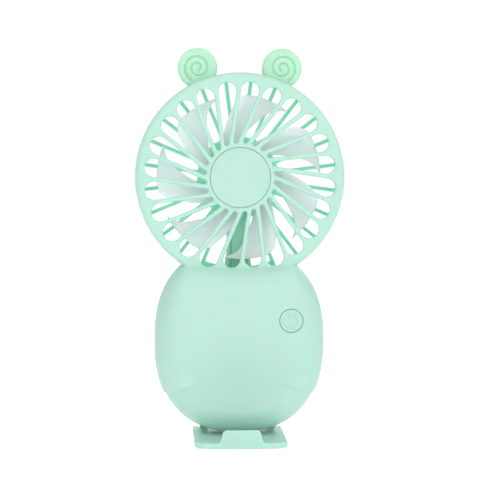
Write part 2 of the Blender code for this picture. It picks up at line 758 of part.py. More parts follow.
def screw(name, place, levels, radii, parent):
    """A pan-head screw along Y with a cross recess: levels are head top, head underside and tip."""
    x, z = place
    top, under, tip = levels
    head, shank = radii
    toward = 1 if top > tip else -1
    soft = 0.3 * MM * toward
    profile = [(0, top), (head - 0.4 * MM, top), (head, top - soft), (head, under), (shank, under)]
    profile += [(shank, tip + soft * 1.5), (shank * 0.4, tip), (0, tip)]
    made = turned(name, profile, 10, parent, (x, 0, z))
    bm = bmesh.new()
    reach = head * 0.55
    slot = head * 0.14
    outline = [(slot, reach), (slot, slot), (reach, slot), (reach, -slot), (slot, -slot), (slot, -reach)]
    outline += [(-px, -pz) for px, pz in outline]
    add_prism(bm, [(x + px, z + pz) for px, pz in outline], top - soft * 1.6, top + soft)
    cut(made, add_object(name + "_recess", bm, parent))
    return finish_piece(made, STEEL, 0.3, 1.0)


def build_conduit_cover(parent):
    bm = bmesh.new()
    low = (-CHANNEL_HALF + GAP, CONDUIT_FRONT - 0.4 * MM, HEAD_Z - HEAD_R + HEAD_WALL + 0.4 * MM)
    high = (CHANNEL_HALF - GAP, CONDUIT_FRONT - 0.4 * MM + COVER_THICK, HEAD_Z - MOTOR_R - CUP_WALL - 1 * MM)
    add_box(bm, low, high)
    return finish_piece(add_object("conduit_cover", bm, parent), MINT)


# Grip contents

def build_cell(parent):
    top = CELL_BOTTOM + CELL_LENGTH
    soft = 0.6 * MM
    levels = [(CELL_R - soft, CELL_BOTTOM), (CELL_R, CELL_BOTTOM + soft)]
    levels += [(CELL_R, top - soft), (CELL_R - soft, top)]
    turns = [2 * math.pi * i / 24 for i in range(24)]
    rings = [[(CELL_X + r * math.cos(a), r * math.sin(a), z) for a in turns] for r, z in levels]
    bm = bmesh.new()
    add_rings(bm, rings)
    finish_piece(add_object("battery_cell", bm, parent), CELL_WRAP, 0.35)
    for name, z in (("cell_tab_top", top + GAP), ("cell_tab_bottom", CELL_BOTTOM - GAP - 0.3 * MM)):
        bm = bmesh.new()
        add_box(bm, (CELL_X - 3 * MM, -2.5 * MM, z), (CELL_X + 6 * MM, 2.5 * MM, z + 0.3 * MM))
        finish_piece(add_object(name, bm, parent), NICKEL, 0.3, 1.0)


def build_board(parent):
    (x0, x1), (z0, z1) = BOARD_X, BOARD_Z
    back = BOARD_FRONT + BOARD_THICK
    bm = bmesh.new()
    add_box(bm, (x0, BOARD_FRONT, z0), (x1, back, z1))
    board = add_object("control_board", bm, parent)
    cut(board, posts("board_holes", BOARD_POSTS, 1.3 * MM, -12 * MM, -5 * MM, 12, parent))
    finish_piece(board, BOARD_GREEN, 0.35)
    for number, place in enumerate(BOARD_POSTS, 1):
        levels = (back + 1.3 * MM, back + GAP, -13.2 * MM)
        screw(f"board_screw_{number}", place, levels, (2.0 * MM, 0.7 * MM), parent)
    box_piece("charge_chip", (14, back / MM + 0.3, 52), (19, back / MM + 1.5, 56), BLACK, 0.5, parent)
    box_piece("inductor", (20.5, back / MM + 0.3, 44), (25.5, back / MM + 3.0, 49), FERRITE, 0.55, parent)
    box_piece("status_lamp", (24.7, -10.7, 51.6), (26.3, BOARD_FRONT / MM - 0.3, 52.6), LAMP, 0.3, parent)


def box_piece(name, low, high, colour, roughness, parent):
    """A small block between two corners given in millimetres."""
    bm = bmesh.new()
    add_box(bm, [v * MM for v in low], [v * MM for v in high])
    return finish_piece(add_object(name, bm, parent), colour, roughness)


def build_switch(parent):
    low = (BUTTON_X - 3 * MM, -13.1 * MM, BUTTON_Z - 3 * MM)
    high = (BUTTON_X + 3 * MM, BOARD_FRONT - GAP, BUTTON_Z + 3 * MM)
    bm = bmesh.new()
    add_box(bm, low, high)
    switch = add_object("tact_switch", bm, parent)
    cut(switch, posts("plunger_bore", [(BUTTON_X, BUTTON_Z)], 1.9 * MM, -14 * MM, -11.0 * MM, 20, parent))
    finish_piece(switch, BLACK, 0.5)


def build_button(axis, centre):
    place = (BUTTON_X, 0, BUTTON_Z)
    cap = [(0, BUTTON_FRONT), (BUTTON_R - 0.6 * MM, BUTTON_FRONT), (BUTTON_R, BUTTON_FRONT + 0.5 * MM)]
    cap += [(BUTTON_R, -14.9 * MM), (BUTTON_FLANGE_R, -14.9 * MM)]
    cap += [(BUTTON_FLANGE_R, -14.2 * MM), (0, -14.2 * MM)]
    finish_piece(turned("power_button", cap, 32, axis, place, centre), MINT)
    plunger = disc_profile(1.6 * MM, -13.9 * MM, -11.7 * MM)
    finish_piece(turned("switch_plunger", plunger, 20, axis, place, centre), BLACK, 0.5)


def build_socket(parent):
    inner, mouth = SOCKET_X
    bm = bmesh.new()
    add_stadium(bm, 4.5 * MM, 1.6 * MM, inner, mouth)
    shell = add_object("charging_socket", bm, parent)
    bm = bmesh.new()
    add_stadium(bm, 4.1 * MM, 1.2 * MM, inner + 0.8 * MM, mouth + 2 * MM)
    cut(shell, add_object("socket_inside", bm, parent))
    finish_piece(shell, STEEL, 0.3, 1.0)
    middle = SOCKET_Y / MM
    height = SOCKET_Z / MM
    low = (inner / MM + 1.1, middle - 0.35, height - 3.2)
    high = (mouth / MM - 1.0, middle + 0.35, height + 3.2)
    box_piece("socket_tongue", low, high, BLACK, 0.5, parent)


def build_wires(parent):
    head = HEAD_Z / MM
    leads = (("motor_lead_red", 1.3, 20.3, RED_WIRE), ("motor_lead_black", -1.3, 17.7, BLACK))
    for name, x, end, colour in leads:
        route = [(x, 9.1, head - 13.2), (x, 9.1, head - 24), (x, 9.1, head - 38), (x, 9.0, head - 50.5)]
        route += [(x + 2.0, 8.2, 74.6), (x + 7.5, 3.5, 72.2), (x + 13.0, -3.0, 71.0)]
        route += [(end, -6.6, 70.0), (end, -7.4, 65.5)]
        wire(name, route, parent, colour)
    route = [(-5.2, 0, 76.8), (-1.5, -2.5, 76.6), (4.5, -5.6, 75.2), (10.0, -7.0, 72.0), (12.5, -7.4, 66.5)]
    wire("cell_lead_red", route, parent, RED_WIRE)
    route = [(-5.2, 0, 8.8), (-1.0, -2.4, 9.6), (5.0, -4.2, 14.0), (10.5, -5.4, 22.5), (16.0, -6.6, 32.5)]
    route += [(18.0, -7.4, 43.5)]
    wire("cell_lead_black", route, parent, BLACK)


def build_shell_screws(parent):
    for number, place in enumerate(SCREW_POSTS, 1):
        levels = (14.6 * MM, 12.9 * MM, -9 * MM)
        screw(f"shell_screw_{number}", place, levels, (SCREW_HEAD_R, SCREW_SHANK_R), parent)


# Foot

def foot_outline():
    """The plate seen from above, as (x, y) points: round front corners and a slightly bowed front edge."""
    corner_x = FOOT_HALF_WIDTH - FOOT_CORNER
    corner_y = FOOT_FRONT + FOOT_CORNER
    left = []
    for i in range(5):
        angle = math.pi / 2 * i / 4
        left.append((-corner_x - FOOT_CORNER * math.cos(angle), corner_y - FOOT_CORNER * math.sin(angle)))
    count = 6
    front = []
    for i in range(1, count):
        across = 2 * i / count - 1
        front.append((corner_x * across, FOOT_FRONT - FOOT_BULGE * (1 - across ** 2)))
    right = [(-x, y) for x, y in reversed(left)]
    return left + front + right


def lip_outline():
    """The phone stop seen from the front, from the plate upward."""
    base = FOOT_THICK + PAD_DROP - 0.5 * MM
    right = [(LIP_BASE, base), (LIP_BASE - 1.4 * MM, base + 1.1 * MM), (LIP_WAIST, base + 2.4 * MM)]
    for i in range(4):
        angle = math.pi / 2 * i / 3
        x = LIP_TOP - LIP_ROUND * (1 - math.cos(angle))
        right.append((x, LIP_HEIGHT - LIP_ROUND * (1 - math.sin(angle))))
    return right + [(-x, z) for x, z in reversed(right)]


def knuckle_ring(x):
    """The plate's section beside the pin: flat faces that run into a round rear edge."""
    turns = [-math.pi / 2 + math.pi * i / 6 for i in range(7)]
    ring = [(x, HINGE_Y + KNUCKLE_R * math.cos(a), HINGE_Z + KNUCKLE_R * math.sin(a)) for a in turns]
    start = -10 * MM
    return ring + [(x, start, PAD_DROP + FOOT_THICK), (x, start, PAD_DROP)]


def build_foot(axis, centre):
    bm = bmesh.new()
    outline = foot_outline() + [(FOOT_HALF_WIDTH, 0), (-FOOT_HALF_WIDTH, 0)]
    add_rings(bm, [[(x, y, z) for x, y in outline] for z in (PAD_DROP, PAD_DROP + FOOT_THICK)])
    plate = add_object("foot_plate", bm, axis, centre)
    bm = bmesh.new()
    add_rings(bm, [knuckle_ring(x) for x in (-FOOT_HALF_WIDTH, FOOT_HALF_WIDTH)])
    join(plate, add_object("foot_knuckle", bm, axis, centre))
    bm = bmesh.new()
    add_prism(bm, lip_outline(), FOOT_FRONT, FOOT_FRONT + LIP_THICK)
    join(plate, add_object("foot_lip", bm, axis, centre))
    bm = bmesh.new()
    for side in (-1, 1):
        near, far = (side * x for x in (LUG_X[0] - GAP, LUG_X[1] + GAP))
        low = (min(near, far), HINGE_Y - LUG_CLEAR, -5 * MM)
        add_box(bm, low, (max(near, far), HINGE_Y + 5 * MM, 10 * MM))
    cut(plate, add_object("lug_gaps", bm, axis, centre))
    cut(plate, pin_bar("foot_bore", PIN_R + 0.15 * MM, 30 * MM, axis, centre))
    cut(plate, pad_block("pad_seat", GAP, PAD_DROP + 0.6 * MM + GAP, axis, centre))
    finish_piece(plate, MINT)
    finish_piece(pad_block("foot_pad", 0, PAD_THICK, axis, centre), RUBBER, 0.7)
    finish_piece(pin_bar("foot_pin", PIN_R, PIN_HALF, axis, centre), STEEL, 0.25, 1.0)


def pad_block(name, grow, top, axis, centre):
    half_x, half_y = PAD_HALF
    middle = -7 * MM
    bottom = -grow * 4
    bm = bmesh.new()
    low = (-half_x - grow, middle - half_y - grow, bottom)
    add_box(bm, low, (half_x + grow, middle + half_y + grow, top))
    return add_object(name, bm, axis, centre)


def build():
    clear_scene()
    fan = pivot("fan", (0, FAN_Y, 0))
    head_centre = Vector((0, 0, HEAD_Z))
    button_centre = Vector((BUTTON_X, BUTTON_FRONT, BUTTON_Z))
    hinge_centre = Vector((0, HINGE_Y, HINGE_Z))
    impeller_axis = pivot("impeller_axis", head_centre, fan)
    button_axis = pivot("button_axis", button_centre, fan)
    foot_axis = pivot("foot_axis", hinge_centre, fan)
    build_front_shell(fan)
    build_rear_shell(fan)
    build_hub_cap(fan)
    build_ear("ear_left", -1, fan)
    build_ear("ear_right", 1, fan)
    build_impeller(impeller_axis, head_centre)
    build_motor(fan, impeller_axis, head_centre)
    build_conduit_cover(fan)
    build_cell(fan)
    build_board(fan)
    build_switch(fan)
    build_button(button_axis, button_centre)
    build_socket(fan)
    build_wires(fan)
    build_shell_screws(fan)
    build_foot(foot_axis, hinge_centre)


build()
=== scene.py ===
"""The looks of a pocket fan: mint mouldings, a frosted impeller and its small metal parts.

Lengths are in millimetres about the parting plane between the two shells, with the front
towards -Y, and in_frame() carries them into the frame.
"""

import math

import bmesh
import bpy
import numpy as np
from mathutils import Matrix, Vector
from mathutils.geometry import delaunay_2d_cdt


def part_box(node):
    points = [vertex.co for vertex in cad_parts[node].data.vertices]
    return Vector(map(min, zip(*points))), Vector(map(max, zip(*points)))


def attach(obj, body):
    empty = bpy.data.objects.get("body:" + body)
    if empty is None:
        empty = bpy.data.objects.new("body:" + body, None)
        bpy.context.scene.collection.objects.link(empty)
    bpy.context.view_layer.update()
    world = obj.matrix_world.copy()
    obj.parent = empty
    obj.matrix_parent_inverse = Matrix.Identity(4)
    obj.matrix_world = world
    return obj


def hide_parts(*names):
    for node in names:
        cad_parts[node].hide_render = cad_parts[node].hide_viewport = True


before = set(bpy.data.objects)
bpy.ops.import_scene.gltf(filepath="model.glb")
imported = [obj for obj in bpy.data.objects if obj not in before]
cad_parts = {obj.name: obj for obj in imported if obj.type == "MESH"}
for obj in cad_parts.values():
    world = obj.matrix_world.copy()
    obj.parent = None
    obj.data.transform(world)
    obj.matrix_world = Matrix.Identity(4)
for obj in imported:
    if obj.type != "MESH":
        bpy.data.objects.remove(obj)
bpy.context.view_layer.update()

MM = 0.001
TURN = 2 * math.pi


# Places and sizes taken from the frame

def low(node):
    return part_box(node)[0] / MM


def high(node):
    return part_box(node)[1] / MM


def centre(node):
    return (low(node) + high(node)) / 2


PARTING_Y = (high("front_shell").y + low("rear_shell").y) / 2
HEAD_Z = centre("hub_cap").z
HEAD_R = high("front_shell").x
HUB_CAP_R = high("hub_cap").x
HUB_CAP_FACE = PARTING_Y - low("hub_cap").y
BUTTON_X = centre("power_button").x
BUTTON_Z = centre("power_button").z
BUTTON_FACE = PARTING_Y - low("power_button").y
BUTTON_FLANGE_R = high("power_button").x - BUTTON_X
GRIP_FACE = high("rear_shell").y - PARTING_Y
EAR_X = centre("ear_right").x
EAR_R = high("ear_right").x - EAR_X
EAR_Z = high("ear_right").z - EAR_R
EAR_HALF = (high("ear_right").y - low("ear_right").y) / 2
SOCKET_Y = centre("charging_socket").y - PARTING_Y
SOCKET_Z = centre("charging_socket").z
HINGE_Y = centre("foot_pin").y - PARTING_Y
HINGE_Z = centre("foot_pin").z
FOOT_HALF_WIDTH = high("foot_plate").x
FOOT_TOP = 2 * HINGE_Z - low("foot_plate").z
FOOT_BOTTOM = low("foot_plate").z
LIP_TOP_Z = high("foot_plate").z

# Gaps and edges that the mouldings share
HALF_GAP = 0.15
STEEP = 0.05
WALL = 1.8
OUTSIDE_FALL = 40.0

# Grip: a superellipse cut off at the top by a shallow arc, with a recessed lower bowl
GRIP_Z = 49.2
GRIP_HALF_WIDTH = 42.0
GRIP_HALF_HEIGHT = 46.0
GRIP_POWER = 2.4
NECK_DIP = 37.7
NECK_RADIUS = 200.0
EDGE_START = 3.0
EDGE_ROUND = 12.0
STEP_INSET = 0.8
STEP_HEIGHT = 31.5
STEP_DROP = 9.5
STEP_SPREAD = GRIP_HALF_WIDTH - STEP_INSET
STEP_RAMP = 1.0
STEP_FAINT = 0.7
STEP_FAINT_HALF = 22
STEP_FAINT_FADE = 18
CREASE_BLEND = 1.0
CORNER_BLEND = 7.0
SKIN = 2.2

# Head
BORE_R = HEAD_R - WALL
HOLLOW_EDGE = HEAD_R + 0.3
HEAD_FACES = {-1: 10.0, 1: 12.5}
HEAD_SOFT = 2.6
GRILLE_THICK = 2.0
RIB_COUNT = 24
PITCH = TURN / RIB_COUNT
RIB_WIDTH = 2.1
RIB_OFFSET = 6.8
RIB_LEAD = math.radians(8.1)
RIB_SOFT = 0.9
RIB_BACK_SOFT = 0.4
SLOT_INNER = 16.8
SLOT_OUTER = 46.95
NECK_OVERLAP = 1.3
REAR_RIB_WIDTH = 1.8
REAR_HUB_R = 20.5
REAR_SLOT_OUTER = 49.4
REAR_RIB_SOFT = 0.7
CLEAR_OF_SLOTS = 9.0
HUB_SEAT_R = HUB_CAP_R + 0.14
HUB_SEAT_FLOOR = 8.7
HUB_BACK = 7.0
HUB_BACK_R = HUB_CAP_R + 1.2
HUB_HOLE_R = 2.8
HUB_PEG_R = 2.5
HUB_EDGE_SOFT = 0.3
BUTTON_LEDGE = 1.2
BUTTON_EDGE_SOFT = 0.55
BUTTON_SEAT = 15.2
SOCKET_END_R = 1.9
SOCKET_REACH = 3.0
SOCKET_CUT_X = (36.0, 46.0)
HUB_CAP_SOFT = 0.55
HUB_CAP_BACK = -9.0
HUB_PEG_END = -7.2

# Rear shell
CUP_R = (12.5, 13.7)
CUP_FRONT = 2.6
CONDUIT_HALF = 5.75
CHANNEL_HALF = 3.9
CONDUIT_FRONT = 6.5
CONDUIT_TOP = HEAD_Z - 13.2
CONDUIT_BOTTOM = HEAD_Z - HEAD_R + 1.0
CHANNEL_TOP = HEAD_Z - 12.2
CHANNEL_BOTTOM = HEAD_Z - HEAD_R - 6.0
RECESS_HALF = 23.1
RECESS_TOP = 50.6
RECESS_BOTTOM = -10.0
RECESS_FLOOR = 13.4
RECESS_CORNER = 2.0
RECESS_SOFT = 0.5
CASE_SCREWS = [centre(f"shell_screw_{number}") for number in range(1, 5)]
SCREW_SPOTS = [(middle.x, middle.z) for middle in CASE_SCREWS]
SINK_R = 2.5
SINK_FLOOR = 12.6
SINK_SOFT = 0.25
SCREW_HOLE_R = 1.3
MOTOR_SCREWS = [(centre(f"motor_screw_{number}").x, HEAD_Z) for number in (1, 2)]
MOTOR_SINK_R = 2.0
MOTOR_SINK_FLOOR = 11.5
MOTOR_SINK_SOFT = 0.2
MOTOR_HOLE_R = 1.1
POST_RADII = {-1: 2.7, 1: 3.3}
PILOT_DEPTH = 13.5


# Mesh making

def in_frame(points):
    """Millimetres about the parting plane to the frame's metres."""
    placed = np.array(points, dtype=float)
    placed[:, 1] += PARTING_Y
    return placed * MM


def make_piece(name, points, faces, body, finish, sharp=38.0):
    mesh = bpy.data.meshes.new(name)
    mesh.from_pydata(in_frame(points).tolist(), [], faces)
    shape = bmesh.new()
    shape.from_mesh(mesh)
    bmesh.ops.remove_doubles(shape, verts=shape.verts, dist=0.0005 * MM)
    bmesh.ops.dissolve_degenerate(shape, edges=shape.edges, dist=0.0005 * MM)
    bmesh.ops.recalc_face_normals(shape, faces=shape.faces)
    shape.to_mesh(mesh)
    shape.free()
    mesh.shade_smooth()
    mesh.set_sharp_from_angle(angle=math.radians(sharp))
    made = bpy.data.objects.new(name, mesh)
    bpy.context.scene.collection.objects.link(made)
    slot, look = finish
    mesh.materials.append(look)
    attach(made, body)
    return made


class Plan:
    """A flat drawing of closed loops and lines, cut into triangles between them."""

    def __init__(self):
        self.points = []
        self.edges = []
        self.areas = []
        self.names = []

    def _add(self, points):
        start = len(self.points)
        self.points += [Vector(point) for point in points]
        return list(range(start, len(self.points)))

    def area(self, name, points):
        """A closed loop that later tells which triangles lie inside it."""
        ids = self._add(points)
        x, z = np.array(points).T
        anticlockwise = np.sum(x * np.roll(z, -1) - z * np.roll(x, -1)) > 0
        self.areas.append(ids if anticlockwise else ids[::-1])
        self.names.append(name)
        return ids

    def loop(self, points):
        ids = self._add(points)
        self.edges += list(zip(ids, ids[1:] + ids[:1]))
        return ids

    def rings(self, x, z, radii, count):
        for radius in radii:
            self.loop(ring(x, z, radius, count))

    def line(self, points):
        ids = self._add(points)
        self.edges += list(zip(ids, ids[1:]))
        return ids

    def cut(self, keep):
        """Corners and triangles of the parts whose set of area names passes keep."""
        out = delaunay_2d_cdt(self.points, self.edges, self.areas, 0, 1e-6)
        corners, triangles, held = out[0], out[2], out[5]
        kept = [t for t, ids in zip(triangles, held) if keep({self.names[i] for i in ids})]
        used = sorted({i for t in kept for i in t})
        renumber = {old: new for new, old in enumerate(used)}
        flat = np.array([corners[i] for i in used])
        return flat, [tuple(renumber[i] for i in t) for t in kept]


def rim_edges(triangles):
    """The directed edges that only one triangle has."""
    seen = set()
    for t in triangles:
        seen |= {(t[i], t[(i + 1) % len(t)]) for i in range(len(t))}
    return [edge for edge in seen if (edge[1], edge[0]) not in seen]


def slab_faces(count, triangles):
    """A closed skin over two copies of a plan: outer corners first, then inner ones."""
    faces = list(triangles)
    faces += [tuple(count + i for i in reversed(t)) for t in triangles]
    faces += [(b, a, count + a, count + b) for a, b in rim_edges(triangles)]
    return faces


def slab_piece(name, body, finish, drawn, levels, axis=1, sharp=38.0):
    """A closed piece over a drawn plan, between two levels along one axis."""
    flat, triangles = drawn
    points = np.concatenate([np.insert(flat, axis, level, axis=1) for level in levels])
    return make_piece(name, points, slab_faces(len(flat), triangles), body, finish, sharp)


def ring(x, z, radius, count):
    turn = np.linspace(0, TURN, count, endpoint=False)
    return np.stack([x + radius * np.sin(turn), z + radius * np.cos(turn)], axis=1)


def on_circle(x, z, radius, turn):
    return x + radius * math.cos(turn), z + radius * math.sin(turn)


def band_round(circles, offset=0.0, arc_step=math.radians(12), run=9.0):
    """A loop stretched round circles (x, z, radius), listed anticlockwise, and grown by offset."""
    count = len(circles)
    normals = []
    for i in range(count):
        (ax, az, ar), (bx, bz, br) = circles[i], circles[(i + 1) % count]
        length = math.hypot(bx - ax, bz - az)
        heading = math.atan2(bz - az, bx - ax)
        normals.append(heading - math.acos((ar - br) / length))
    points = []
    for i in range(count):
        x, z, radius = circles[i]
        start = normals[i - 1]
        sweep = (normals[i] - start) % TURN
        steps = max(2, math.ceil(sweep / arc_step))
        for k in range(steps + 1):
            turn = start + sweep * k / steps
            points.append(on_circle(x, z, radius + offset, turn))
        nx, nz, next_radius = circles[(i + 1) % count]
        end = on_circle(nx, nz, next_radius + offset, normals[i])
        last = points[-1]
        pieces = math.ceil(math.hypot(end[0] - last[0], end[1] - last[1]) / run)
        for k in range(1, pieces):
            t = k / pieces
            points.append((last[0] + (end[0] - last[0]) * t, last[1] + (end[1] - last[1]) * t))
    return np.array(points)


def distance_to(points, line, closed=True):
    """How far each point is from a line of straight pieces."""
    starts = line if closed else line[:-1]
    ends = np.roll(line, -1, axis=0) if closed else line[1:]
    best = np.full(len(points), 1e9)
    for a, b in zip(starts, ends):
        along = b - a
        t = np.clip(((points - a) @ along) / max(along @ along, 1e-12), 0, 1)
        gap = points - a - t[:, None] * along
        best = np.minimum(best, np.hypot(gap[:, 0], gap[:, 1]))
    return best


def soft_drop(distance, radius):
    """How far a rounded edge of that radius lies below its face."""
    lean = np.clip(1 - distance / radius, 0, 1)
    return radius * (1 - np.sqrt(1 - lean ** 2))


def smooth_max(a, b, blend):
    near = np.clip(blend - np.abs(a - b), 0, None)
    return np.maximum(a, b) + near ** 2 / (4 * blend)


# Outlines of the shells

def superellipse(half_width, half_height, turn):
    cosine = np.cos(turn)
    sine = np.sin(turn)
    x = half_width * np.sign(cosine) * np.abs(cosine) ** (2 / GRIP_POWER)
    z = half_height * np.sign(sine) * np.abs(sine) ** (2 / GRIP_POWER)
    return x, z + GRIP_Z


def neck_line(x):
    return GRIP_Z + NECK_DIP + x ** 2 / (2 * NECK_RADIUS)


def step_line(x):
    return STEP_HEIGHT - STEP_DROP * (x / STEP_SPREAD) ** 2


def bowl_depth(x, z):
    """How far the surface is recessed below the step line, which is fainter at the middle."""
    fade = np.clip((np.abs(x) - STEP_FAINT_HALF) / STEP_FAINT_FADE, 0, 1)
    share = STEP_FAINT + (1 - STEP_FAINT) * fade
    return STEP_INSET * share * np.clip((step_line(x) - z) / STEP_RAMP, 0, 1)


def find_turn(low_turn, high_turn, below):
    """The turn between two where below() changes from true to false."""
    for _ in range(40):
        middle = (low_turn + high_turn) / 2
        if below(middle):
            low_turn = middle
        else:
            high_turn = middle
    return low_turn


def grip_turns(inset):
    """Turns of the points of one grip loop, and the places of the four on the step's edges."""
    size = (GRIP_HALF_WIDTH - inset, GRIP_HALF_HEIGHT - inset)

    def under(limit):
        def test(turn):
            x, z = superellipse(*size, turn)
            return z < limit(x)
        return test

    corner = find_turn(0, math.pi / 2, under(lambda x: neck_line(x) - inset))
    limits = [under(lambda x, down=down: step_line(x) - down) for down in (0, STEP_RAMP)]
    edges = [find_turn(-math.pi / 2, 0, limit) for limit in limits]
    edges += [-math.pi - turn for turn in reversed(edges)]
    turns = np.linspace(corner, -math.pi - corner, 150)
    clear = np.all(np.abs(turns[:, None] - np.array(edges)) > math.radians(0.6), axis=1)
    clear[[0, -1]] = True
    turns = np.sort(np.concatenate([turns[clear], edges]))[::-1]
    marks = [int(np.argmin(np.abs(turns - edge))) for edge in edges]
    return turns, marks


def grip_loop(inset):
    """The grip seen from the front, drawn in by inset, with the bowl recessed below the step."""
    turns, marks = grip_turns(inset)
    x, z = superellipse(GRIP_HALF_WIDTH - inset, GRIP_HALF_HEIGHT - inset, turns)
    extra = bowl_depth(x, z)
    x, z = superellipse(GRIP_HALF_WIDTH - inset - extra, GRIP_HALF_HEIGHT - inset - extra, turns)
    top_x = np.linspace(x[-1], x[0], 42)[1:-1]
    top_z = neck_line(top_x) - inset
    return np.stack([np.append(x, top_x), np.append(z, top_z)], axis=1), marks


def grip_inset(x, z):
    """How far inside the grip's full outline each point is."""
    inner = np.full(len(x), -30.0)
    outer = np.full(len(x), GRIP_HALF_WIDTH - 0.01)
    for _ in range(42):
        middle = (inner + outer) / 2
        reach = np.abs(x / (GRIP_HALF_WIDTH - middle)) ** GRIP_POWER
        reach += np.abs((z - GRIP_Z) / (GRIP_HALF_HEIGHT - middle)) ** GRIP_POWER
        inside = reach < 1
        inner = np.where(inside, middle, inner)
        outer = np.where(inside, outer, middle)
    crown = neck_line(x) - z
    least = np.minimum(inner, crown)
    blend = np.clip(least, 0.01, CORNER_BLEND)
    return least - np.clip(blend - np.abs(inner - crown), 0, None) ** 2 / (4 * blend)


def polar(radius, angle):
    """A point in the head, with the angle clockwise from the top as seen from the front."""
    return radius * math.sin(angle), HEAD_Z + radius * math.cos(angle)


def slot_reach(angle, usual):
    """How far out a slot may run: the slots above the neck crease are shorter."""
    down = -math.cos(angle)
    if down < 0.7:
        return usual
    drop = HEAD_Z - GRIP_Z - NECK_DIP
    bow = math.sin(angle) ** 2 / (2 * NECK_RADIUS)
    if bow * drop < 1e-6:
        return min(usual, drop / down + NECK_OVERLAP)
    reach = (math.sqrt(down ** 2 + 4 * bow * drop) - down) / (2 * bow)
    return min(usual, reach + NECK_OVERLAP)


def slot_circle(index, reach, side):
    """The circle that rounds one end of a front slot: it touches both ribs and the radius reach."""
    near = RIB_OFFSET * 1.05
    far = HEAD_R
    for _ in range(40):
        middle = (near + far) / 2
        lean = math.asin(min(1.0, RIB_OFFSET / (middle * math.cos(PITCH / 2))))
        radius = middle * math.sin(lean + PITCH / 2) - RIB_OFFSET - RIB_WIDTH / 2
        if middle + side * radius < reach:
            near = middle
        else:
            far = middle
    x, z = polar(middle, RIB_LEAD + PITCH * (index + 0.5) - lean)
    return x, z, radius


def front_slot(index):
    """The two circles that a slot between two slanted ribs wraps."""
    outer = slot_reach(PITCH * (index + 0.5), SLOT_OUTER)
    return [slot_circle(index, outer, 1), slot_circle(index, SLOT_INNER, -1)]


def rear_slot(index):
    """The four circles in the corners of a wedge between two radial ribs, anticlockwise."""
    middle = PITCH * index
    outer = slot_reach(middle, REAR_SLOT_OUTER)
    circles = []
    for reach, radius, sides in ((REAR_HUB_R, 0.5, (-1, 1)), (outer, 1.0, (1, -1))):
        along = reach + (radius if reach == REAR_HUB_R else -radius)
        lean = PITCH / 2 - math.asin((REAR_RIB_WIDTH / 2 + radius) / along)
        circles += [(*polar(along, middle + lean * side), radius) for side in sides]
    return circles


# The two shells

ROUND_TURNS = np.radians(np.concatenate([np.arange(0, 45, 3.75), np.arange(45, 90.1, 7.5)]))
GRIP_INSETS = EDGE_ROUND * (1 - np.cos(ROUND_TURNS))
HEAD_INSETS = HEAD_SOFT * (1 - np.cos(np.radians(np.arange(0, 91, 15))))


def head_height(x, z, side):
    face = HEAD_FACES[side]
    inset = HEAD_R - np.hypot(x, z - HEAD_Z)
    return face - soft_drop(inset, HEAD_SOFT) + OUTSIDE_FALL * np.clip(inset, None, 0)


def grip_height(x, z):
    recess = bowl_depth(x, z)
    inset = grip_inset(x, z) - recess
    lean = np.clip(1 - inset / EDGE_ROUND, 0, 1)
    rise = (GRIP_FACE - EDGE_START - recess) * np.sqrt(1 - lean ** 2)
    return EDGE_START + rise + OUTSIDE_FALL * np.clip(inset, None, 0)


def around(x, z, place):
    return np.hypot(x - place[0], z - place[1])


def box_gap(x, z, low_corner, high_corner, corner=0.0):
    """Signed distance from an upright rectangle with rounded corners."""
    mid_x, mid_z = (low_corner[0] + high_corner[0]) / 2, (low_corner[1] + high_corner[1]) / 2
    half_x, half_z = (high_corner[0] - low_corner[0]) / 2, (high_corner[1] - low_corner[1]) / 2
    gap_x = np.abs(x - mid_x) - half_x + corner
    gap_z = np.abs(z - mid_z) - half_z + corner
    outside = np.hypot(np.clip(gap_x, 0, None), np.clip(gap_z, 0, None))
    return outside + np.minimum(np.maximum(gap_x, gap_z), 0) - corner


def box_loop(low_corner, high_corner, corner, offset=0.0):
    (x0, z0), (x1, z1) = low_corner, high_corner
    left, right, bottom, top = x0 + corner, x1 - corner, z0 + corner, z1 - corner
    spots = [(right, bottom), (right, top), (left, top), (left, bottom)]
    return band_round([(x, z, corner) for x, z in spots], offset, run=4.0)


def shell_plan(side, slot_of, slot_soft):
    """The loops that both shells share: outlines, rounded edges, slots and ring wall."""
    plan = Plan()
    outline, marks = grip_loop(0)
    ids = plan.area("grip", outline)
    for inset in GRIP_INSETS[1:]:
        loop, next_marks = grip_loop(inset)
        next_ids = plan.loop(loop)
        plan.edges += [(ids[a], next_ids[b]) for a, b in zip(marks, next_marks)]
        ids, marks, last = next_ids, next_marks, loop
    for right, left, down in ((0, 3, 0), (1, 2, STEP_RAMP)):
        start, end = last[marks[right]], last[marks[left]]
        x = np.linspace(start[0], end[0], 40)[1:-1]
        across = plan.line(np.stack([x, step_line(x) - down], axis=1))
        plan.edges += [(ids[marks[right]], across[0]), (across[-1], ids[marks[left]])]
    plan.area("head", ring(0, HEAD_Z, HEAD_R, 240))
    for inset in HEAD_INSETS[1:]:
        add_clear_ring(plan, HEAD_R - inset)
    plan.rings(0, HEAD_Z, (BORE_R, BORE_R - STEEP), 200)
    softs = slot_soft * (1 - np.cos(np.radians([25, 50, 80])))
    loops = []
    for index in range(RIB_COUNT):
        circles = slot_of(index)
        loops.append(band_round(circles))
        plan.area("slot", loops[-1])
        for offset in softs:
            plan.loop(band_round(circles, offset))
    post = POST_RADII[side]
    for x, z in SCREW_SPOTS:
        plan.rings(x, z, (post, post + STEEP), 24)
    plan.rings(0, HEAD_Z, (HOLLOW_EDGE, HOLLOW_EDGE + STEEP), 200)
    for inset in (STEP_INSET + WALL, STEP_INSET + WALL + STEEP):
        plan.loop(grip_loop(inset)[0])
    return plan, loops


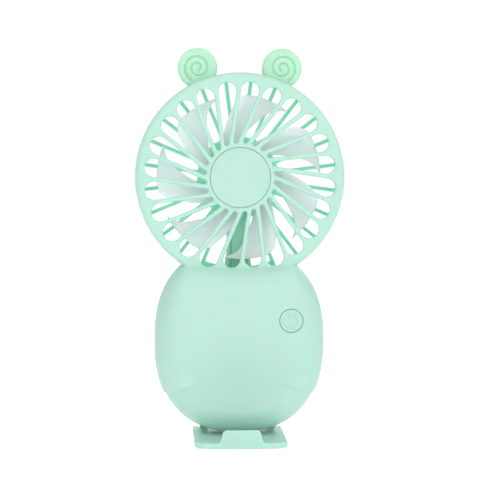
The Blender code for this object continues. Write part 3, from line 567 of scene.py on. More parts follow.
def add_clear_ring(plan, radius):
    """A ring in the head, left open where the grip stands higher."""
    points = ring(0, HEAD_Z, radius, 240)
    start = int(np.argmin(points[:, 1]))
    points = np.roll(points, -start, axis=0)
    clear = points[:, 1] > neck_line(points[:, 0]) + 0.3
    plan.line(points[clear])


def slot_gap(flat, loops):
    best = np.full(len(flat), 1e9)
    for loop in loops:
        middle = loop.mean(axis=0)
        near = np.hypot(*(flat - middle).T) < 24
        best[near] = np.minimum(best[near], distance_to(flat[near], loop))
    return best


def hollow_height(flat, outer, side):
    """The inside of a shell: parting rim, ring wall, grille back and grip hollow."""
    x, z = flat[:, 0], flat[:, 1]
    radius = np.hypot(x, z - HEAD_Z)
    inner = np.full(len(x), HALF_GAP)
    in_grip = (grip_inset(x, z) > STEP_INSET + WALL + STEEP / 2) & (radius > HOLLOW_EDGE + STEEP / 2)
    inner = np.where(in_grip, outer - SKIN, inner)
    in_head = radius < BORE_R - STEEP / 2
    return np.where(in_head, HEAD_FACES[side] - GRILLE_THICK, inner)


def build_front_shell(finish):
    plan, loops = shell_plan(-1, front_slot, RIB_SOFT)
    plan.area("hole", ring(0, HEAD_Z, HUB_HOLE_R, 24))
    plan.rings(0, HEAD_Z, [HUB_SEAT_R + grow for grow in (-STEEP, 0, 0.04, 0.15, HUB_EDGE_SOFT)], 96)
    plan.rings(0, HEAD_Z, (HUB_BACK_R, HUB_BACK_R + STEEP), 96)
    hole_r = BUTTON_FLANGE_R - BUTTON_LEDGE + 0.1
    plan.area("hole", ring(BUTTON_X, BUTTON_Z, hole_r, 64))
    plan.rings(BUTTON_X, BUTTON_Z, [hole_r + grow for grow in (0.06, 0.2, 0.36, BUTTON_EDGE_SOFT)], 64)
    seat_r = BUTTON_FLANGE_R + 0.3
    plan.rings(BUTTON_X, BUTTON_Z, (seat_r, seat_r + STEEP), 48)
    for x, z in SCREW_SPOTS:
        plan.rings(x, z, (SCREW_HOLE_R - STEEP, SCREW_HOLE_R), 16)
    flat, triangles = plan.cut(lambda inside: inside & {"grip", "head"} and not inside & {"slot", "hole"})
    x, z = flat[:, 0], flat[:, 1]
    radius = np.hypot(x, z - HEAD_Z)
    slot = slot_gap(flat, loops)
    outer = smooth_max(head_height(x, z, -1), grip_height(x, z), CREASE_BLEND)
    inner = hollow_height(flat, outer, -1)
    outer = outer - soft_drop(slot, RIB_SOFT)
    outer = outer - soft_drop(radius - HUB_SEAT_R, HUB_EDGE_SOFT)
    outer = np.where(radius < HUB_SEAT_R - STEEP / 2, HUB_SEAT_FLOOR, outer)
    button = around(x, z, (BUTTON_X, BUTTON_Z))
    outer = outer - soft_drop(button - hole_r, BUTTON_EDGE_SOFT)
    inner = np.where(radius < HUB_BACK_R + STEEP / 2, HUB_BACK, inner)
    inner = inner + np.where(radius > HUB_BACK_R + STEEP / 2, soft_drop(slot, RIB_BACK_SOFT), 0)
    inner = np.where(button < seat_r + STEEP / 2, BUTTON_SEAT, inner)
    for place in SCREW_SPOTS:
        gap = around(x, z, place)
        inner = np.where(gap < POST_RADII[-1] + STEEP / 2, HALF_GAP, inner)
        inner = np.where(gap < SCREW_HOLE_R - STEEP / 2, PILOT_DEPTH, inner)
    made = slab_piece("front_case", "fan_body", finish, (flat, triangles), (-outer, -inner))
    cut_socket_opening(made)
    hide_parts("front_shell")


def cut_socket_opening(shell):
    """The stadium-shaped way in to the charging socket, through the side wall."""
    ends = [(0, -SOCKET_REACH, SOCKET_END_R), (0, SOCKET_REACH, SOCKET_END_R)]
    outline = band_round(ends, arc_step=math.radians(9))
    rings = [[(x, SOCKET_Y + y, SOCKET_Z + z) for y, z in outline] for x in SOCKET_CUT_X]
    count = len(outline)
    faces = [tuple(range(count)), tuple(range(count, 2 * count))]
    faces += [(i, (i + 1) % count, count + (i + 1) % count, count + i) for i in range(count)]
    mesh = bpy.data.meshes.new("socket_cutter")
    mesh.from_pydata(in_frame(rings[0] + rings[1]).tolist(), [], faces)
    shape = bmesh.new()
    shape.from_mesh(mesh)
    bmesh.ops.recalc_face_normals(shape, faces=shape.faces)
    shape.to_mesh(mesh)
    shape.free()
    cutter = bpy.data.objects.new("socket_cutter", mesh)
    bpy.context.scene.collection.objects.link(cutter)
    step = shell.modifiers.new("socket_opening", "BOOLEAN")
    step.operation = "DIFFERENCE"
    step.solver = "EXACT"
    step.object = cutter
    apply_modifiers(shell)
    bpy.data.objects.remove(cutter, do_unlink=True)


def apply_modifiers(piece):
    """Keep the shape that the modifiers give, and drop them."""
    graph = bpy.context.evaluated_depsgraph_get()
    made = bpy.data.meshes.new_from_object(piece.evaluated_get(graph))
    piece.modifiers.clear()
    piece.data = made


def build_rear_shell(finish):
    plan, loops = shell_plan(1, rear_slot, REAR_RIB_SOFT)
    pocket = ((-RECESS_HALF, RECESS_BOTTOM), (RECESS_HALF, RECESS_TOP), RECESS_CORNER)
    for offset in (-STEEP, 0, 0.08, 0.25, RECESS_SOFT, WALL, WALL + STEEP):
        plan.loop(box_loop(*pocket, offset))
    conduit = ((-CONDUIT_HALF, CONDUIT_BOTTOM), (CONDUIT_HALF, CONDUIT_TOP))
    plan.area("conduit", rectangle(*conduit))
    plan.loop(rectangle(*conduit, STEEP))
    channel = ((-CHANNEL_HALF, CHANNEL_BOTTOM), (CHANNEL_HALF, CHANNEL_TOP))
    for grow in (-STEEP, 0):
        plan.loop(rectangle(*channel, grow))
    plan.rings(0, HEAD_Z, (CUP_R[0] - STEEP, CUP_R[0], CUP_R[1], CUP_R[1] + STEEP), 72)
    for x, z in SCREW_SPOTS:
        plan.area("hole", ring(x, z, SCREW_HOLE_R, 16))
        plan.rings(x, z, [SINK_R + grow for grow in (-STEEP, 0, 0.06, SINK_SOFT)], 40)
    for x, z in MOTOR_SCREWS:
        plan.area("hole", ring(x, z, MOTOR_HOLE_R, 16))
        plan.rings(x, z, [MOTOR_SINK_R + grow for grow in (-STEEP, 0, 0.05, MOTOR_SINK_SOFT)], 32)

    def keep(inside):
        if not inside & {"grip", "head"} or "hole" in inside:
            return False
        return "slot" not in inside or "conduit" in inside

    flat, triangles = plan.cut(keep)
    x, z = flat[:, 0], flat[:, 1]
    radius = np.hypot(x, z - HEAD_Z)
    conduit_gap = box_gap(x, z, *conduit)
    slot = np.where(conduit_gap < STEEP / 2, CLEAR_OF_SLOTS, slot_gap(flat, loops))
    outer = smooth_max(head_height(x, z, 1), grip_height(x, z), CREASE_BLEND)
    inner = hollow_height(flat, outer, 1)
    outer = outer - soft_drop(slot, REAR_RIB_SOFT)
    inner = inner + soft_drop(slot, RIB_BACK_SOFT)
    recess = box_gap(x, z, *pocket)
    floor = np.minimum(outer, RECESS_FLOOR)
    outer = np.where(recess < -STEEP / 2, floor, np.maximum(outer - soft_drop(recess, RECESS_SOFT), floor))
    inner = np.where(recess < WALL + STEEP / 2, np.minimum(inner, RECESS_FLOOR - WALL), inner)
    in_cup = (radius > CUP_R[0] - STEEP / 2) & (radius < CUP_R[1] + STEEP / 2)
    in_conduit = (conduit_gap < STEEP / 2) & (radius < BORE_R - STEEP / 2)
    inner = np.where(in_conduit, CONDUIT_FRONT, inner)
    inner = np.where(in_cup, CUP_FRONT, inner)
    channel_gap = box_gap(x, z, *channel)
    in_channel = (channel_gap < -STEEP / 2) & (radius > CUP_R[1] + STEEP / 2)
    inner = np.where(in_channel, HEAD_FACES[1] - GRILLE_THICK, inner)
    for place in SCREW_SPOTS:
        gap = around(x, z, place)
        inner = np.where(gap < POST_RADII[1] + STEEP / 2, HALF_GAP, inner)
        outer = outer - soft_drop(gap - SINK_R, SINK_SOFT)
        outer = np.where(gap < SINK_R - STEEP / 2, SINK_FLOOR, outer)
    for place in MOTOR_SCREWS:
        gap = around(x, z, place)
        outer = outer - soft_drop(gap - MOTOR_SINK_R, MOTOR_SINK_SOFT)
        outer = np.where(gap < MOTOR_SINK_R - STEEP / 2, MOTOR_SINK_FLOOR, outer)
    made = slab_piece("rear_case", "fan_body", finish, (flat, triangles), (outer, inner))
    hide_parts("rear_shell")


def rectangle(low_corner, high_corner, grow=0.0):
    x0, z0 = (value - grow for value in low_corner)
    x1, z1 = (value + grow for value in high_corner)
    return np.array([(x0, z0), (x1, z0), (x1, z1), (x0, z1)])


# Smaller pieces

def turned_piece(name, profile, middle, body, finish, segments=96):
    """Turn a profile of (radius, y) points, from the front centre round to the back centre."""
    turn = np.linspace(0, TURN, segments, endpoint=False)
    x0, z0 = middle
    points = []
    rows = []
    for radius, y in profile:
        spots = turn if radius > 0 else turn[:1]
        rows.append(list(range(len(points), len(points) + len(spots))))
        points += [(x0 + radius * math.sin(a), y, z0 + radius * math.cos(a)) for a in spots]
    faces = []
    for near, far in zip(rows, rows[1:]):
        for i in range(segments):
            j = (i + 1) % segments
            corners = [near[i % len(near)], near[j % len(near)], far[j % len(far)], far[i % len(far)]]
            faces.append(tuple(dict.fromkeys(corners)))
    return make_piece(name, points, faces, body, finish)


def round_corner(radius, y, soft, toward, steps=5):
    """Profile points round an outer edge: from the face at y to the side at radius."""
    turns = [math.pi / 2 * k / steps for k in range(steps + 1)]
    return [(radius - soft + soft * math.sin(a), y + toward * soft * (1 - math.cos(a))) for a in turns]


def build_hub_cap(finish):
    """A slightly domed disc on a peg."""
    dome = ((0, 0), (4, 0.01), (8, 0.05), (11.5, 0.12))
    profile = [(radius, -HUB_CAP_FACE + drop) for radius, drop in dome]
    profile += round_corner(HUB_CAP_R, -HUB_CAP_FACE + 0.2, HUB_CAP_SOFT, 1)
    profile += [(HUB_CAP_R, HUB_CAP_BACK), (HUB_PEG_R, HUB_CAP_BACK)]
    profile += [(HUB_PEG_R, HUB_PEG_END), (0, HUB_PEG_END)]
    made = turned_piece("hub_cover", profile, (0, HEAD_Z), "fan_body", finish)
    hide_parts("hub_cap")


EAR_SOFT = 1.5
SPIRAL_START = math.radians(-150)
SPIRAL_END = math.radians(478)
SPIRAL_R = 6.3
SPIRAL_SHRINK = 3.2 / TURN
GROOVE_HALF = 0.65
GROOVE_DEPTH = 0.8


def spiral(middle_x, side, offset=0.0):
    """The groove's route, winding inward over the top of the ear."""
    turn = np.linspace(SPIRAL_START, SPIRAL_END, 110)
    radius = SPIRAL_R - SPIRAL_SHRINK * (turn + math.pi / 2) + offset
    return np.stack([middle_x - side * radius * np.sin(turn), EAR_Z + radius * np.cos(turn)], axis=1)


def build_ear(name, node, side, finish):
    middle = side * EAR_X
    plan = Plan()
    plan.area("ear", ring(middle, EAR_Z, EAR_R, 120))
    for inset in EAR_SOFT * (1 - np.cos(np.radians(np.arange(12, 91, 13)))):
        plan.loop(ring(middle, EAR_Z, EAR_R - inset, 120))
    plan.area("head", ring(0, HEAD_Z, HEAD_R - 0.05, 240))
    for offset in (-1, -0.66, -0.33, 0, 0.33, 0.66, 1):
        plan.line(spiral(middle, side, offset * GROOVE_HALF))
    flat, triangles = plan.cut(lambda inside: "ear" in inside and "head" not in inside)
    edge = EAR_R - around(flat[:, 0], flat[:, 1], (middle, EAR_Z))
    depth = np.clip(1 - (distance_to(flat, spiral(middle, side), closed=False) / GROOVE_HALF) ** 2, 0, 1)
    half = EAR_HALF - soft_drop(edge, EAR_SOFT) - GROOVE_DEPTH * depth ** 1.3
    made = slab_piece(name, "fan_body", finish, (flat, triangles), (-half, half), sharp=60)
    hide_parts(node)


# Impeller: seven swept blades round a cup

BLADE_COUNT = 7
BLADE_TIP_R = 40.7
BLADE_ROOT_R = 14.1
BLADE_SPAN = math.radians(30.0)
BLADE_SWEEP = math.radians(35.7)
BLADE_FRONT = -4.6
BLADE_DEPTH = 9.0
BLADE_CURL = 0.06
BLADE_HALF_THICK = 0.6
BLADE_CORNER = 4.5
BLADE_HOOK = math.radians(6.5)
HOOK_START = 35.0
CUP_WALL = 1.4
CUP_FACE = -6.4
CUP_BACK = 2.0
CUP_SOFT = 1.2
BOSS_R = 2.6
BOSS_BACK = -1.9
SHAFT_HOLE_R = 1.1
IMPELLER_R = 14.5


def blade_points(index, face):
    """One side of a blade as a grid of points from root to tip and trailing to leading edge."""
    across = (1 - np.cos(np.linspace(0, math.pi, 25))) / 2
    out = np.sin(np.linspace(0, math.pi / 2, 27)) ** 1.2
    rows = []
    for u in out:
        chord = across * BLADE_SPAN * BLADE_TIP_R
        tip = BLADE_TIP_R - soft_drop(chord, BLADE_CORNER)
        radius = BLADE_ROOT_R + (tip - BLADE_ROOT_R) * u
        hook = BLADE_HOOK * np.clip((radius - HOOK_START) / (BLADE_TIP_R - HOOK_START), 0, 1) ** 1.6
        sweep = BLADE_SWEEP * np.log(radius / BLADE_TIP_R) + TURN * index / BLADE_COUNT
        angle = sweep + BLADE_SPAN * across + hook * across ** 2
        width = BLADE_SPAN * radius
        edge = np.minimum(np.minimum(across, 1 - across) * width, tip - radius)
        thick = BLADE_HALF_THICK - soft_drop(edge, BLADE_HALF_THICK)
        y = BLADE_FRONT + BLADE_DEPTH * (across - BLADE_CURL * np.sin(TURN * across)) + face * thick
        rows.append(np.stack([radius * np.sin(angle), y, HEAD_Z + radius * np.cos(angle)], axis=1))
    return np.array(rows)


def build_impeller(finish):
    points = []
    faces = []
    for index in range(BLADE_COUNT):
        sides = [blade_points(index, face) for face in (-1, 1)]
        rows, columns = sides[0].shape[:2]
        start = len(points)
        for grid in sides:
            points += grid.reshape(-1, 3).tolist()
        half = rows * columns
        for base in (start, start + half):
            for r in range(rows - 1):
                for c in range(columns - 1):
                    at = base + r * columns + c
                    faces.append((at, at + 1, at + columns + 1, at + columns))
        root = list(range(start, start + columns))
        faces.append(tuple(root + [half + c for c in reversed(root)]))
    blades = make_piece("impeller_blades", points, faces, "impeller", finish, 50)
    inner = IMPELLER_R - CUP_WALL
    profile = [(SHAFT_HOLE_R, CUP_FACE), (IMPELLER_R - CUP_SOFT, CUP_FACE)]
    profile += round_corner(IMPELLER_R, CUP_FACE, CUP_SOFT, 1)
    profile += [(IMPELLER_R, CUP_BACK - 0.3), (IMPELLER_R - 0.3, CUP_BACK), (inner, CUP_BACK)]
    profile += [(inner, CUP_FACE + CUP_WALL), (BOSS_R, CUP_FACE + CUP_WALL), (BOSS_R, BOSS_BACK)]
    profile += [(SHAFT_HOLE_R, BOSS_BACK), (SHAFT_HOLE_R, CUP_FACE)]
    cup = turned_piece("impeller_cup", profile, (0, HEAD_Z), "impeller", finish)
    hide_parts("impeller")
    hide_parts("impeller")


# Button

SYMBOL_R = 3.3
SYMBOL_HALF = 0.3
SYMBOL_RISE = 0.5
SYMBOL_OPEN = math.radians(29)
SYMBOL_BAR = (0.9, 3.9)
SYMBOL_SLOPE = 0.2
BUTTON_SOFT = 0.8
BUTTON_SHOULDER = 14.9
BUTTON_BACK = 14.2


def build_button(finish):
    """A round cap with a raised on-off sign, on a flange that keeps it in the case."""
    cap_r = BUTTON_FLANGE_R - BUTTON_LEDGE
    turn = np.linspace(SYMBOL_OPEN, TURN - SYMBOL_OPEN, 60)
    spokes = np.stack([np.sin(turn), np.cos(turn)], axis=1)
    arc = (BUTTON_X, BUTTON_Z) + SYMBOL_R * spokes
    bar = np.array([(BUTTON_X, BUTTON_Z + rise) for rise in SYMBOL_BAR])
    plan = Plan()
    plan.area("button", ring(BUTTON_X, BUTTON_Z, BUTTON_FLANGE_R, 72))
    plan.rings(BUTTON_X, BUTTON_Z, (cap_r, cap_r + STEEP), 96)
    insets = BUTTON_SOFT * (1 - np.cos(np.radians(np.arange(15, 91, 15))))
    plan.rings(BUTTON_X, BUTTON_Z, cap_r - insets, 96)
    for grow in (0, SYMBOL_SLOPE / 2, SYMBOL_SLOPE):
        width = SYMBOL_HALF + grow
        for offset in (-width, width):
            plan.line((BUTTON_X, BUTTON_Z) + (SYMBOL_R + offset) * spokes)
        for end in (arc[0], arc[-1]):
            plan.loop(ring(*end, width, 20))
        plan.loop(band_round([(*bar[1], width), (*bar[0], width - 0.001)]))
    flat, triangles = plan.cut(lambda inside: "button" in inside)
    radius = around(flat[:, 0], flat[:, 1], (BUTTON_X, BUTTON_Z))
    gap = np.minimum(*(distance_to(flat, part, closed=False) for part in (arc, bar))) - SYMBOL_HALF
    raised = SYMBOL_RISE * (1 - np.clip(gap / SYMBOL_SLOPE, 0, 1) ** 2) ** 2
    cap = BUTTON_FACE - SYMBOL_RISE - soft_drop(cap_r - radius, BUTTON_SOFT) + raised
    outer = np.where(radius < cap_r + STEEP / 2, cap, BUTTON_SHOULDER)
    made = slab_piece("button_cap", "power_button", finish, (flat, triangles), (-outer, -BUTTON_BACK))
    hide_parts("power_button")


# Screws

def build_screw(name, node, place, finish):
    """A pan-head screw with a cross recess, whose head faces the back."""
    x0, z0 = place
    head_r = (high(node).x - low(node).x) / 2
    top = high(node).y - PARTING_Y
    tip = low(node).y - PARTING_Y
    shank = head_r * 0.46
    under = top - head_r * 0.75
    plan = Plan()
    plan.area("screw", ring(x0, z0, head_r, 48))
    plan.rings(x0, z0, [head_r * share for share in (0.985, 0.94, 0.86, 0.72, 0.5)], 48)
    plan.rings(x0, z0, (shank, shank - STEEP), 24)
    reach, half = head_r * 0.58, head_r * 0.13
    cross_depth = 0.9 * head_r / 2.2
    for grow in (0, -0.08):
        plan.loop(cross_outline(x0, z0, reach + grow, half + grow * 0.7))
    flat, triangles = plan.cut(lambda inside: "screw" in inside)
    x, z = np.abs(flat[:, 0] - x0), np.abs(flat[:, 1] - z0)
    radius = np.hypot(x, z)
    outer = top - soft_drop(head_r - radius, head_r * 0.45) - 0.12 * (radius / head_r) ** 2
    inset = 0.02
    in_cross = ((x < half - inset) & (z < reach - inset)) | ((z < half - inset) & (x < reach - inset))
    outer = np.where(in_cross, top - cross_depth, outer)
    inner = np.where(radius < shank - STEEP / 2, tip, under)
    made = slab_piece(name, "fan_body", finish, (flat, triangles), (outer, inner))
    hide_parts(node)


def cross_outline(x, z, reach, half):
    quarter = [(reach, half), (half, half), (half, reach)]
    points = []
    for turn in range(4):
        cosine, sine = round(math.cos(turn * math.pi / 2)), round(math.sin(turn * math.pi / 2))
        points += [(x + px * cosine - pz * sine, z + px * sine + pz * cosine) for px, pz in quarter]
    return np.array(points)


# Foot

FOOT_FRONT = -31.0
FOOT_CORNER = 5.0
REAR_CORNER = 0.6
FOOT_BULGE = 0.6
BULGE_START = -10
BULGE_FADE = 12
FOOT_REAR = HINGE_Y + HINGE_Z - FOOT_BOTTOM
KNUCKLE_R = HINGE_Z - FOOT_BOTTOM
FOOT_SOFT = 0.55
LIP_THICK = 2.6
LIP_BASE = 11.9
LIP_WAIST = 9.8
LIP_HALF = 9.3
LIP_ROUND = 2.2
LIP_FLARE = 1.9
LIP_SOFT = 0.5
FILLET = 0.8
FILLET_RISE = 0.6
LUG_X = (15.0, 19.0)
LUG_GAP = 0.3
LUG_CLEAR = 3.7
LUG_BORE_R = 0.85
PAD_HALF = (17.0, 15.0)
PAD_Y = -7.0
PAD_SEAT = 1.3
PAD_SHAPE = ((-PAD_HALF[0], PAD_Y - PAD_HALF[1]), (PAD_HALF[0], PAD_Y + PAD_HALF[1]), 3.0)
PAD_TOP = 1.0
PAD_RIB = 0.25
PAD_SOFT = 0.3
LUG_SOFT = 0.3
LUG_REACH = 6.0
COVER_SOFT = 0.45


def lip_height(x):
    """The phone stop's outline seen from the front: flared feet, straight sides and round corners."""
    x = np.abs(x)
    corner = LIP_HALF - LIP_ROUND
    shoulder = LIP_TOP_Z - LIP_ROUND
    waist = FOOT_TOP + LIP_FLARE
    top = shoulder + np.sqrt(np.clip(LIP_ROUND ** 2 - np.clip(x - corner, 0, None) ** 2, 0, None))
    side = shoulder + (waist - shoulder) * (x - LIP_HALF) / (LIP_WAIST - LIP_HALF)
    flare = FOOT_TOP + LIP_FLARE * np.clip((LIP_BASE - x) / (LIP_BASE - LIP_WAIST), 0, 1) ** 2.2
    return np.where(x < LIP_HALF, top, np.where(x < LIP_WAIST, side, flare))


def build_foot(finish, pad_finish):
    front_corner = (FOOT_HALF_WIDTH - FOOT_CORNER, FOOT_FRONT + FOOT_CORNER)
    rear_corner = (FOOT_HALF_WIDTH - REAR_CORNER, FOOT_REAR - REAR_CORNER)
    circles = [(-front_corner[0], front_corner[1], FOOT_CORNER), (*front_corner, FOOT_CORNER)]
    circles += [(*rear_corner, REAR_CORNER), (-rear_corner[0], rear_corner[1], REAR_CORNER)]
    plan = Plan()
    outline = band_round(circles, 0, run=2.0)
    plan.area("plate", outline)
    for inset in FOOT_SOFT * (1 - np.cos(np.radians([25, 45, 65, 88]))):
        plan.loop(band_round(circles, -inset, run=2.0))
    for side in (-1, 1):
        x0, x1 = sorted(side * x for x in (LUG_X[0] - LUG_GAP, LUG_X[1] + LUG_GAP))
        plan.area("gap", rectangle((x0, HINGE_Y - LUG_CLEAR), (x1, HINGE_Y + 5)))
    for turn in np.radians(np.arange(0, 90, 12)):
        y = HINGE_Y + KNUCKLE_R * math.sin(turn)
        plan.line([(-30, y), (30, y)])
    back = FOOT_FRONT + LIP_THICK
    behind = (-LIP_SOFT, -0.12, 0, STEEP, 0.3, FILLET)
    for y in [FOOT_FRONT + 0.1, FOOT_FRONT + LIP_SOFT] + [back + gap for gap in behind]:
        plan.line([(-LIP_BASE, y), (LIP_BASE, y)])
    corner = LIP_HALF - LIP_ROUND
    stops = list(corner + LIP_ROUND * np.sin(np.radians(np.arange(0, 90, 10)))) + [LIP_HALF, LIP_WAIST]
    stops += list(np.linspace(LIP_WAIST + 0.3, LIP_BASE, 9))
    for x in stops + [-x for x in stops]:
        plan.line([(x, FOOT_FRONT - 1), (x, back + STEEP)])
    for grow in (LUG_GAP, LUG_GAP + STEEP):
        plan.loop(box_loop(*PAD_SHAPE, grow))
    flat, triangles = plan.cut(lambda inside: "plate" in inside and "gap" not in inside)
    x, y = flat[:, 0], flat[:, 1]
    edge = distance_to(flat, outline)
    knuckle = KNUCKLE_R - np.sqrt(np.clip(KNUCKLE_R ** 2 - np.clip(y - HINGE_Y, 0, None) ** 2, 0.02, None))
    drop = np.maximum(soft_drop(edge, FOOT_SOFT), knuckle * (y > HINGE_Y))
    top = FOOT_TOP - drop
    lip_edge = np.minimum(edge, back - y)
    on_lip = (y < back + STEEP / 2) & (np.abs(x) < LIP_BASE)
    top = np.where(on_lip, np.maximum(lip_height(x) - soft_drop(lip_edge, LIP_SOFT), top), top)
    fillet = np.clip(1 - (y - back) / FILLET, 0, 1) ** 2 * FILLET_RISE * (np.abs(x) < LIP_BASE - 1)
    top = np.where((y > back + STEEP / 2) & (y < back + FILLET), top + fillet, top)
    bottom = FOOT_BOTTOM + drop
    in_seat = box_gap(x, y, *PAD_SHAPE) < LUG_GAP + STEEP / 2
    bottom = np.where(in_seat, PAD_SEAT, bottom)
    share = np.clip((BULGE_START - y) / BULGE_FADE, 0, 1)
    bowed = y - FOOT_BULGE * (1 - (x / FOOT_HALF_WIDTH) ** 2) * share
    drawn = (np.stack([x, bowed], axis=1), triangles)
    made = slab_piece("foot_stand", "foot", finish, drawn, (top, bottom), axis=2)
    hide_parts("foot_plate")
    build_pad(pad_finish)


def build_pad(finish):
    """A soft anti-slip pad with rounded edges and shallow cross ribs."""
    plan = Plan()
    plan.area("pad", box_loop(*PAD_SHAPE))
    for inset in (0.05, 0.15, PAD_SOFT):
        plan.loop(box_loop(*PAD_SHAPE, -inset))
    ribs = np.arange(PAD_Y - PAD_HALF[1] + 2, PAD_Y + PAD_HALF[1] - 1.5, 1.0)
    for y in ribs:
        plan.line([(-PAD_HALF[0] + 1.5, y), (PAD_HALF[0] - 1.5, y)])
    flat, triangles = plan.cut(lambda inside: "pad" in inside)
    edge = -box_gap(flat[:, 0], flat[:, 1], *PAD_SHAPE)
    row = np.round(flat[:, 1] - ribs[0])
    on_rib = (np.abs(flat[:, 1] - ribs[0] - row) < 0.01) & (row % 2 == 1) & (edge > 1.4)
    bottom = soft_drop(edge, PAD_SOFT) + np.where(on_rib, PAD_RIB, 0)
    made = slab_piece("foot_grip_pad", "foot", finish, (flat, triangles), (PAD_TOP, bottom), axis=2, sharp=25)
    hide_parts("foot_pad")


def build_lugs(finish):
    """Two arms that lean back from the case and carry the hinge pin."""
    case_end = (HINGE_Y - LUG_REACH, HINGE_Z + LUG_REACH)
    circles = [(HINGE_Y, HINGE_Z, KNUCKLE_R), (*case_end, KNUCKLE_R - 0.001)]
    for side, word in ((-1, "left"), (1, "right")):
        plan = Plan()
        outline = band_round(circles)
        plan.area("lug", outline)
        for inset in (0.05, 0.16, LUG_SOFT):
            plan.loop(band_round(circles, -inset))
        plan.area("bore", ring(HINGE_Y, HINGE_Z, LUG_BORE_R, 32))
        flat, triangles = plan.cut(lambda inside: "lug" in inside and "bore" not in inside)
        drop = soft_drop(distance_to(flat, outline), LUG_SOFT)
        levels = (side * (LUG_X[1] - drop), side * (LUG_X[0] + drop))
        slab_piece(f"hinge_lug_{word}", "fan_body", finish, (flat, triangles), levels, axis=0)


def build_conduit_cover(finish):
    """The snap-in strip that closes the wire channel."""
    node = "conduit_cover"
    shape = ((low(node).x, low(node).z), (high(node).x, high(node).z), 0.8)
    front, back = low(node).y - PARTING_Y, high(node).y - PARTING_Y
    plan = Plan()
    plan.area("cover", box_loop(*shape))
    for inset in (0.06, 0.2, COVER_SOFT):
        plan.loop(box_loop(*shape, -inset))
    flat, triangles = plan.cut(lambda inside: "cover" in inside)
    edge = -box_gap(flat[:, 0], flat[:, 1], *shape)
    levels = (front + soft_drop(edge, COVER_SOFT), back)
    made = slab_piece("channel_cover", "fan_body", finish, (flat, triangles), levels)
    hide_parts(node)


# Materials

def new_group(name, inputs, outputs):
    tree = bpy.data.node_groups.new(name, "ShaderNodeTree")
    for label, kind, value in inputs:
        socket = tree.interface.new_socket(label, in_out="INPUT", socket_type=kind)
        socket.default_value = value
    for label, kind in outputs:
        tree.interface.new_socket(label, in_out="OUTPUT", socket_type=kind)
    return tree, tree.nodes.new("NodeGroupInput").outputs, tree.nodes.new("NodeGroupOutput").inputs


def add_node(tree, kind, links=(), **values):
    """A node with its settings and its {socket: source or value} links."""
    node = tree.nodes.new(kind)
    for key, value in values.items():
        setattr(node, key, value)
    for socket, source in dict(links).items():
        if isinstance(source, bpy.types.NodeSocket):
            tree.links.new(source, node.inputs[socket])
        else:
            node.inputs[socket].default_value = source
    return node


def noise(tree, place, scale, detail):
    values = {"Vector": place, "Scale": scale, "Detail": detail}
    return add_node(tree, "ShaderNodeTexNoise", values).outputs["Fac"]


def span(tree, value, ends, start=(0.0, 1.0)):
    """Carry a value from the start range over to the one between the two ends."""
    values = {"From Min": start[0], "From Max": start[1], "To Min": ends[0], "To Max": ends[1]}
    return add_node(tree, "ShaderNodeMapRange", {"Value": value, **values}).outputs[0]


def surface_group(name, special):
    """A group with the sockets that every surface has, and its own special ones."""
    inputs = [("Colour", "NodeSocketColor", (0.5, 0.5, 0.5, 1)), ("Gloss Low", "NodeSocketFloat", 0.3),
              ("Gloss High", "NodeSocketFloat", 0.4), *special]
    outputs = [("Colour", "NodeSocketColor"), ("Roughness", "NodeSocketFloat"),
               ("Normal", "NodeSocketVector")]
    tree, given, result = new_group(name, inputs, outputs)
    place = add_node(tree, "ShaderNodeTexCoord").outputs["Object"]

    def finish(share, gloss, start, relief, depth, strength):
        tint = {0: given["Colour"], "Scale": share}
        bump = {"Height": relief, "Distance": depth, "Strength": strength}
        colour = add_node(tree, "ShaderNodeVectorMath", tint, operation="SCALE").outputs[0]
        rough = span(tree, gloss, (given["Gloss Low"], given["Gloss High"]), start)
        normal = add_node(tree, "ShaderNodeBump", bump).outputs[0]
        for source, label in ((colour, "Colour"), (rough, "Roughness"), (normal, "Normal")):
            tree.links.new(source, result[label])
        return tree

    return tree, given, place, finish


def moulded_group():
    """Moulded plastic: cloudy colour, uneven gloss and a fine eroded grain."""
    special = [("Mottle", "NodeSocketFloat", 0.03), ("Grain Scale", "NodeSocketFloat", 2400),
               ("Grain Depth", "NodeSocketFloat", 0.00001)]
    tree, given, place, finish = surface_group("moulded_surface", special)
    swing = span(tree, noise(tree, place, 38.0, 3.0), (-1.0, 1.0), (0.3, 0.7))
    mottle = {0: swing, 1: given["Mottle"], 2: 1.0}
    share = add_node(tree, "ShaderNodeMath", mottle, operation="MULTIPLY_ADD").outputs[0]
    streak = noise(tree, place, 140.0, 4.0)
    grain = noise(tree, place, given["Grain Scale"], 2.0)
    return finish(share, streak, (0.35, 0.65), grain, given["Grain Depth"], 0.6)


def drawn_group():
    """Drawn or rolled metal: fine lines along one way, with stains in the gloss."""
    special = [("Stretch", "NodeSocketVector", (1, 1, 1)), ("Line Depth", "NodeSocketFloat", 0.000005)]
    tree, given, place, finish = surface_group("drawn_metal", special)
    stretch = {0: place, 1: given["Stretch"]}
    pull = add_node(tree, "ShaderNodeVectorMath", stretch, operation="MULTIPLY").outputs[0]
    lines = noise(tree, pull, 1500.0, 3.0)
    stain = noise(tree, place, 300.0, 3.0)
    share = span(tree, lines, (0.86, 1.1))
    return finish(share, stain, (0.3, 0.7), lines, given["Line Depth"], 0.5)


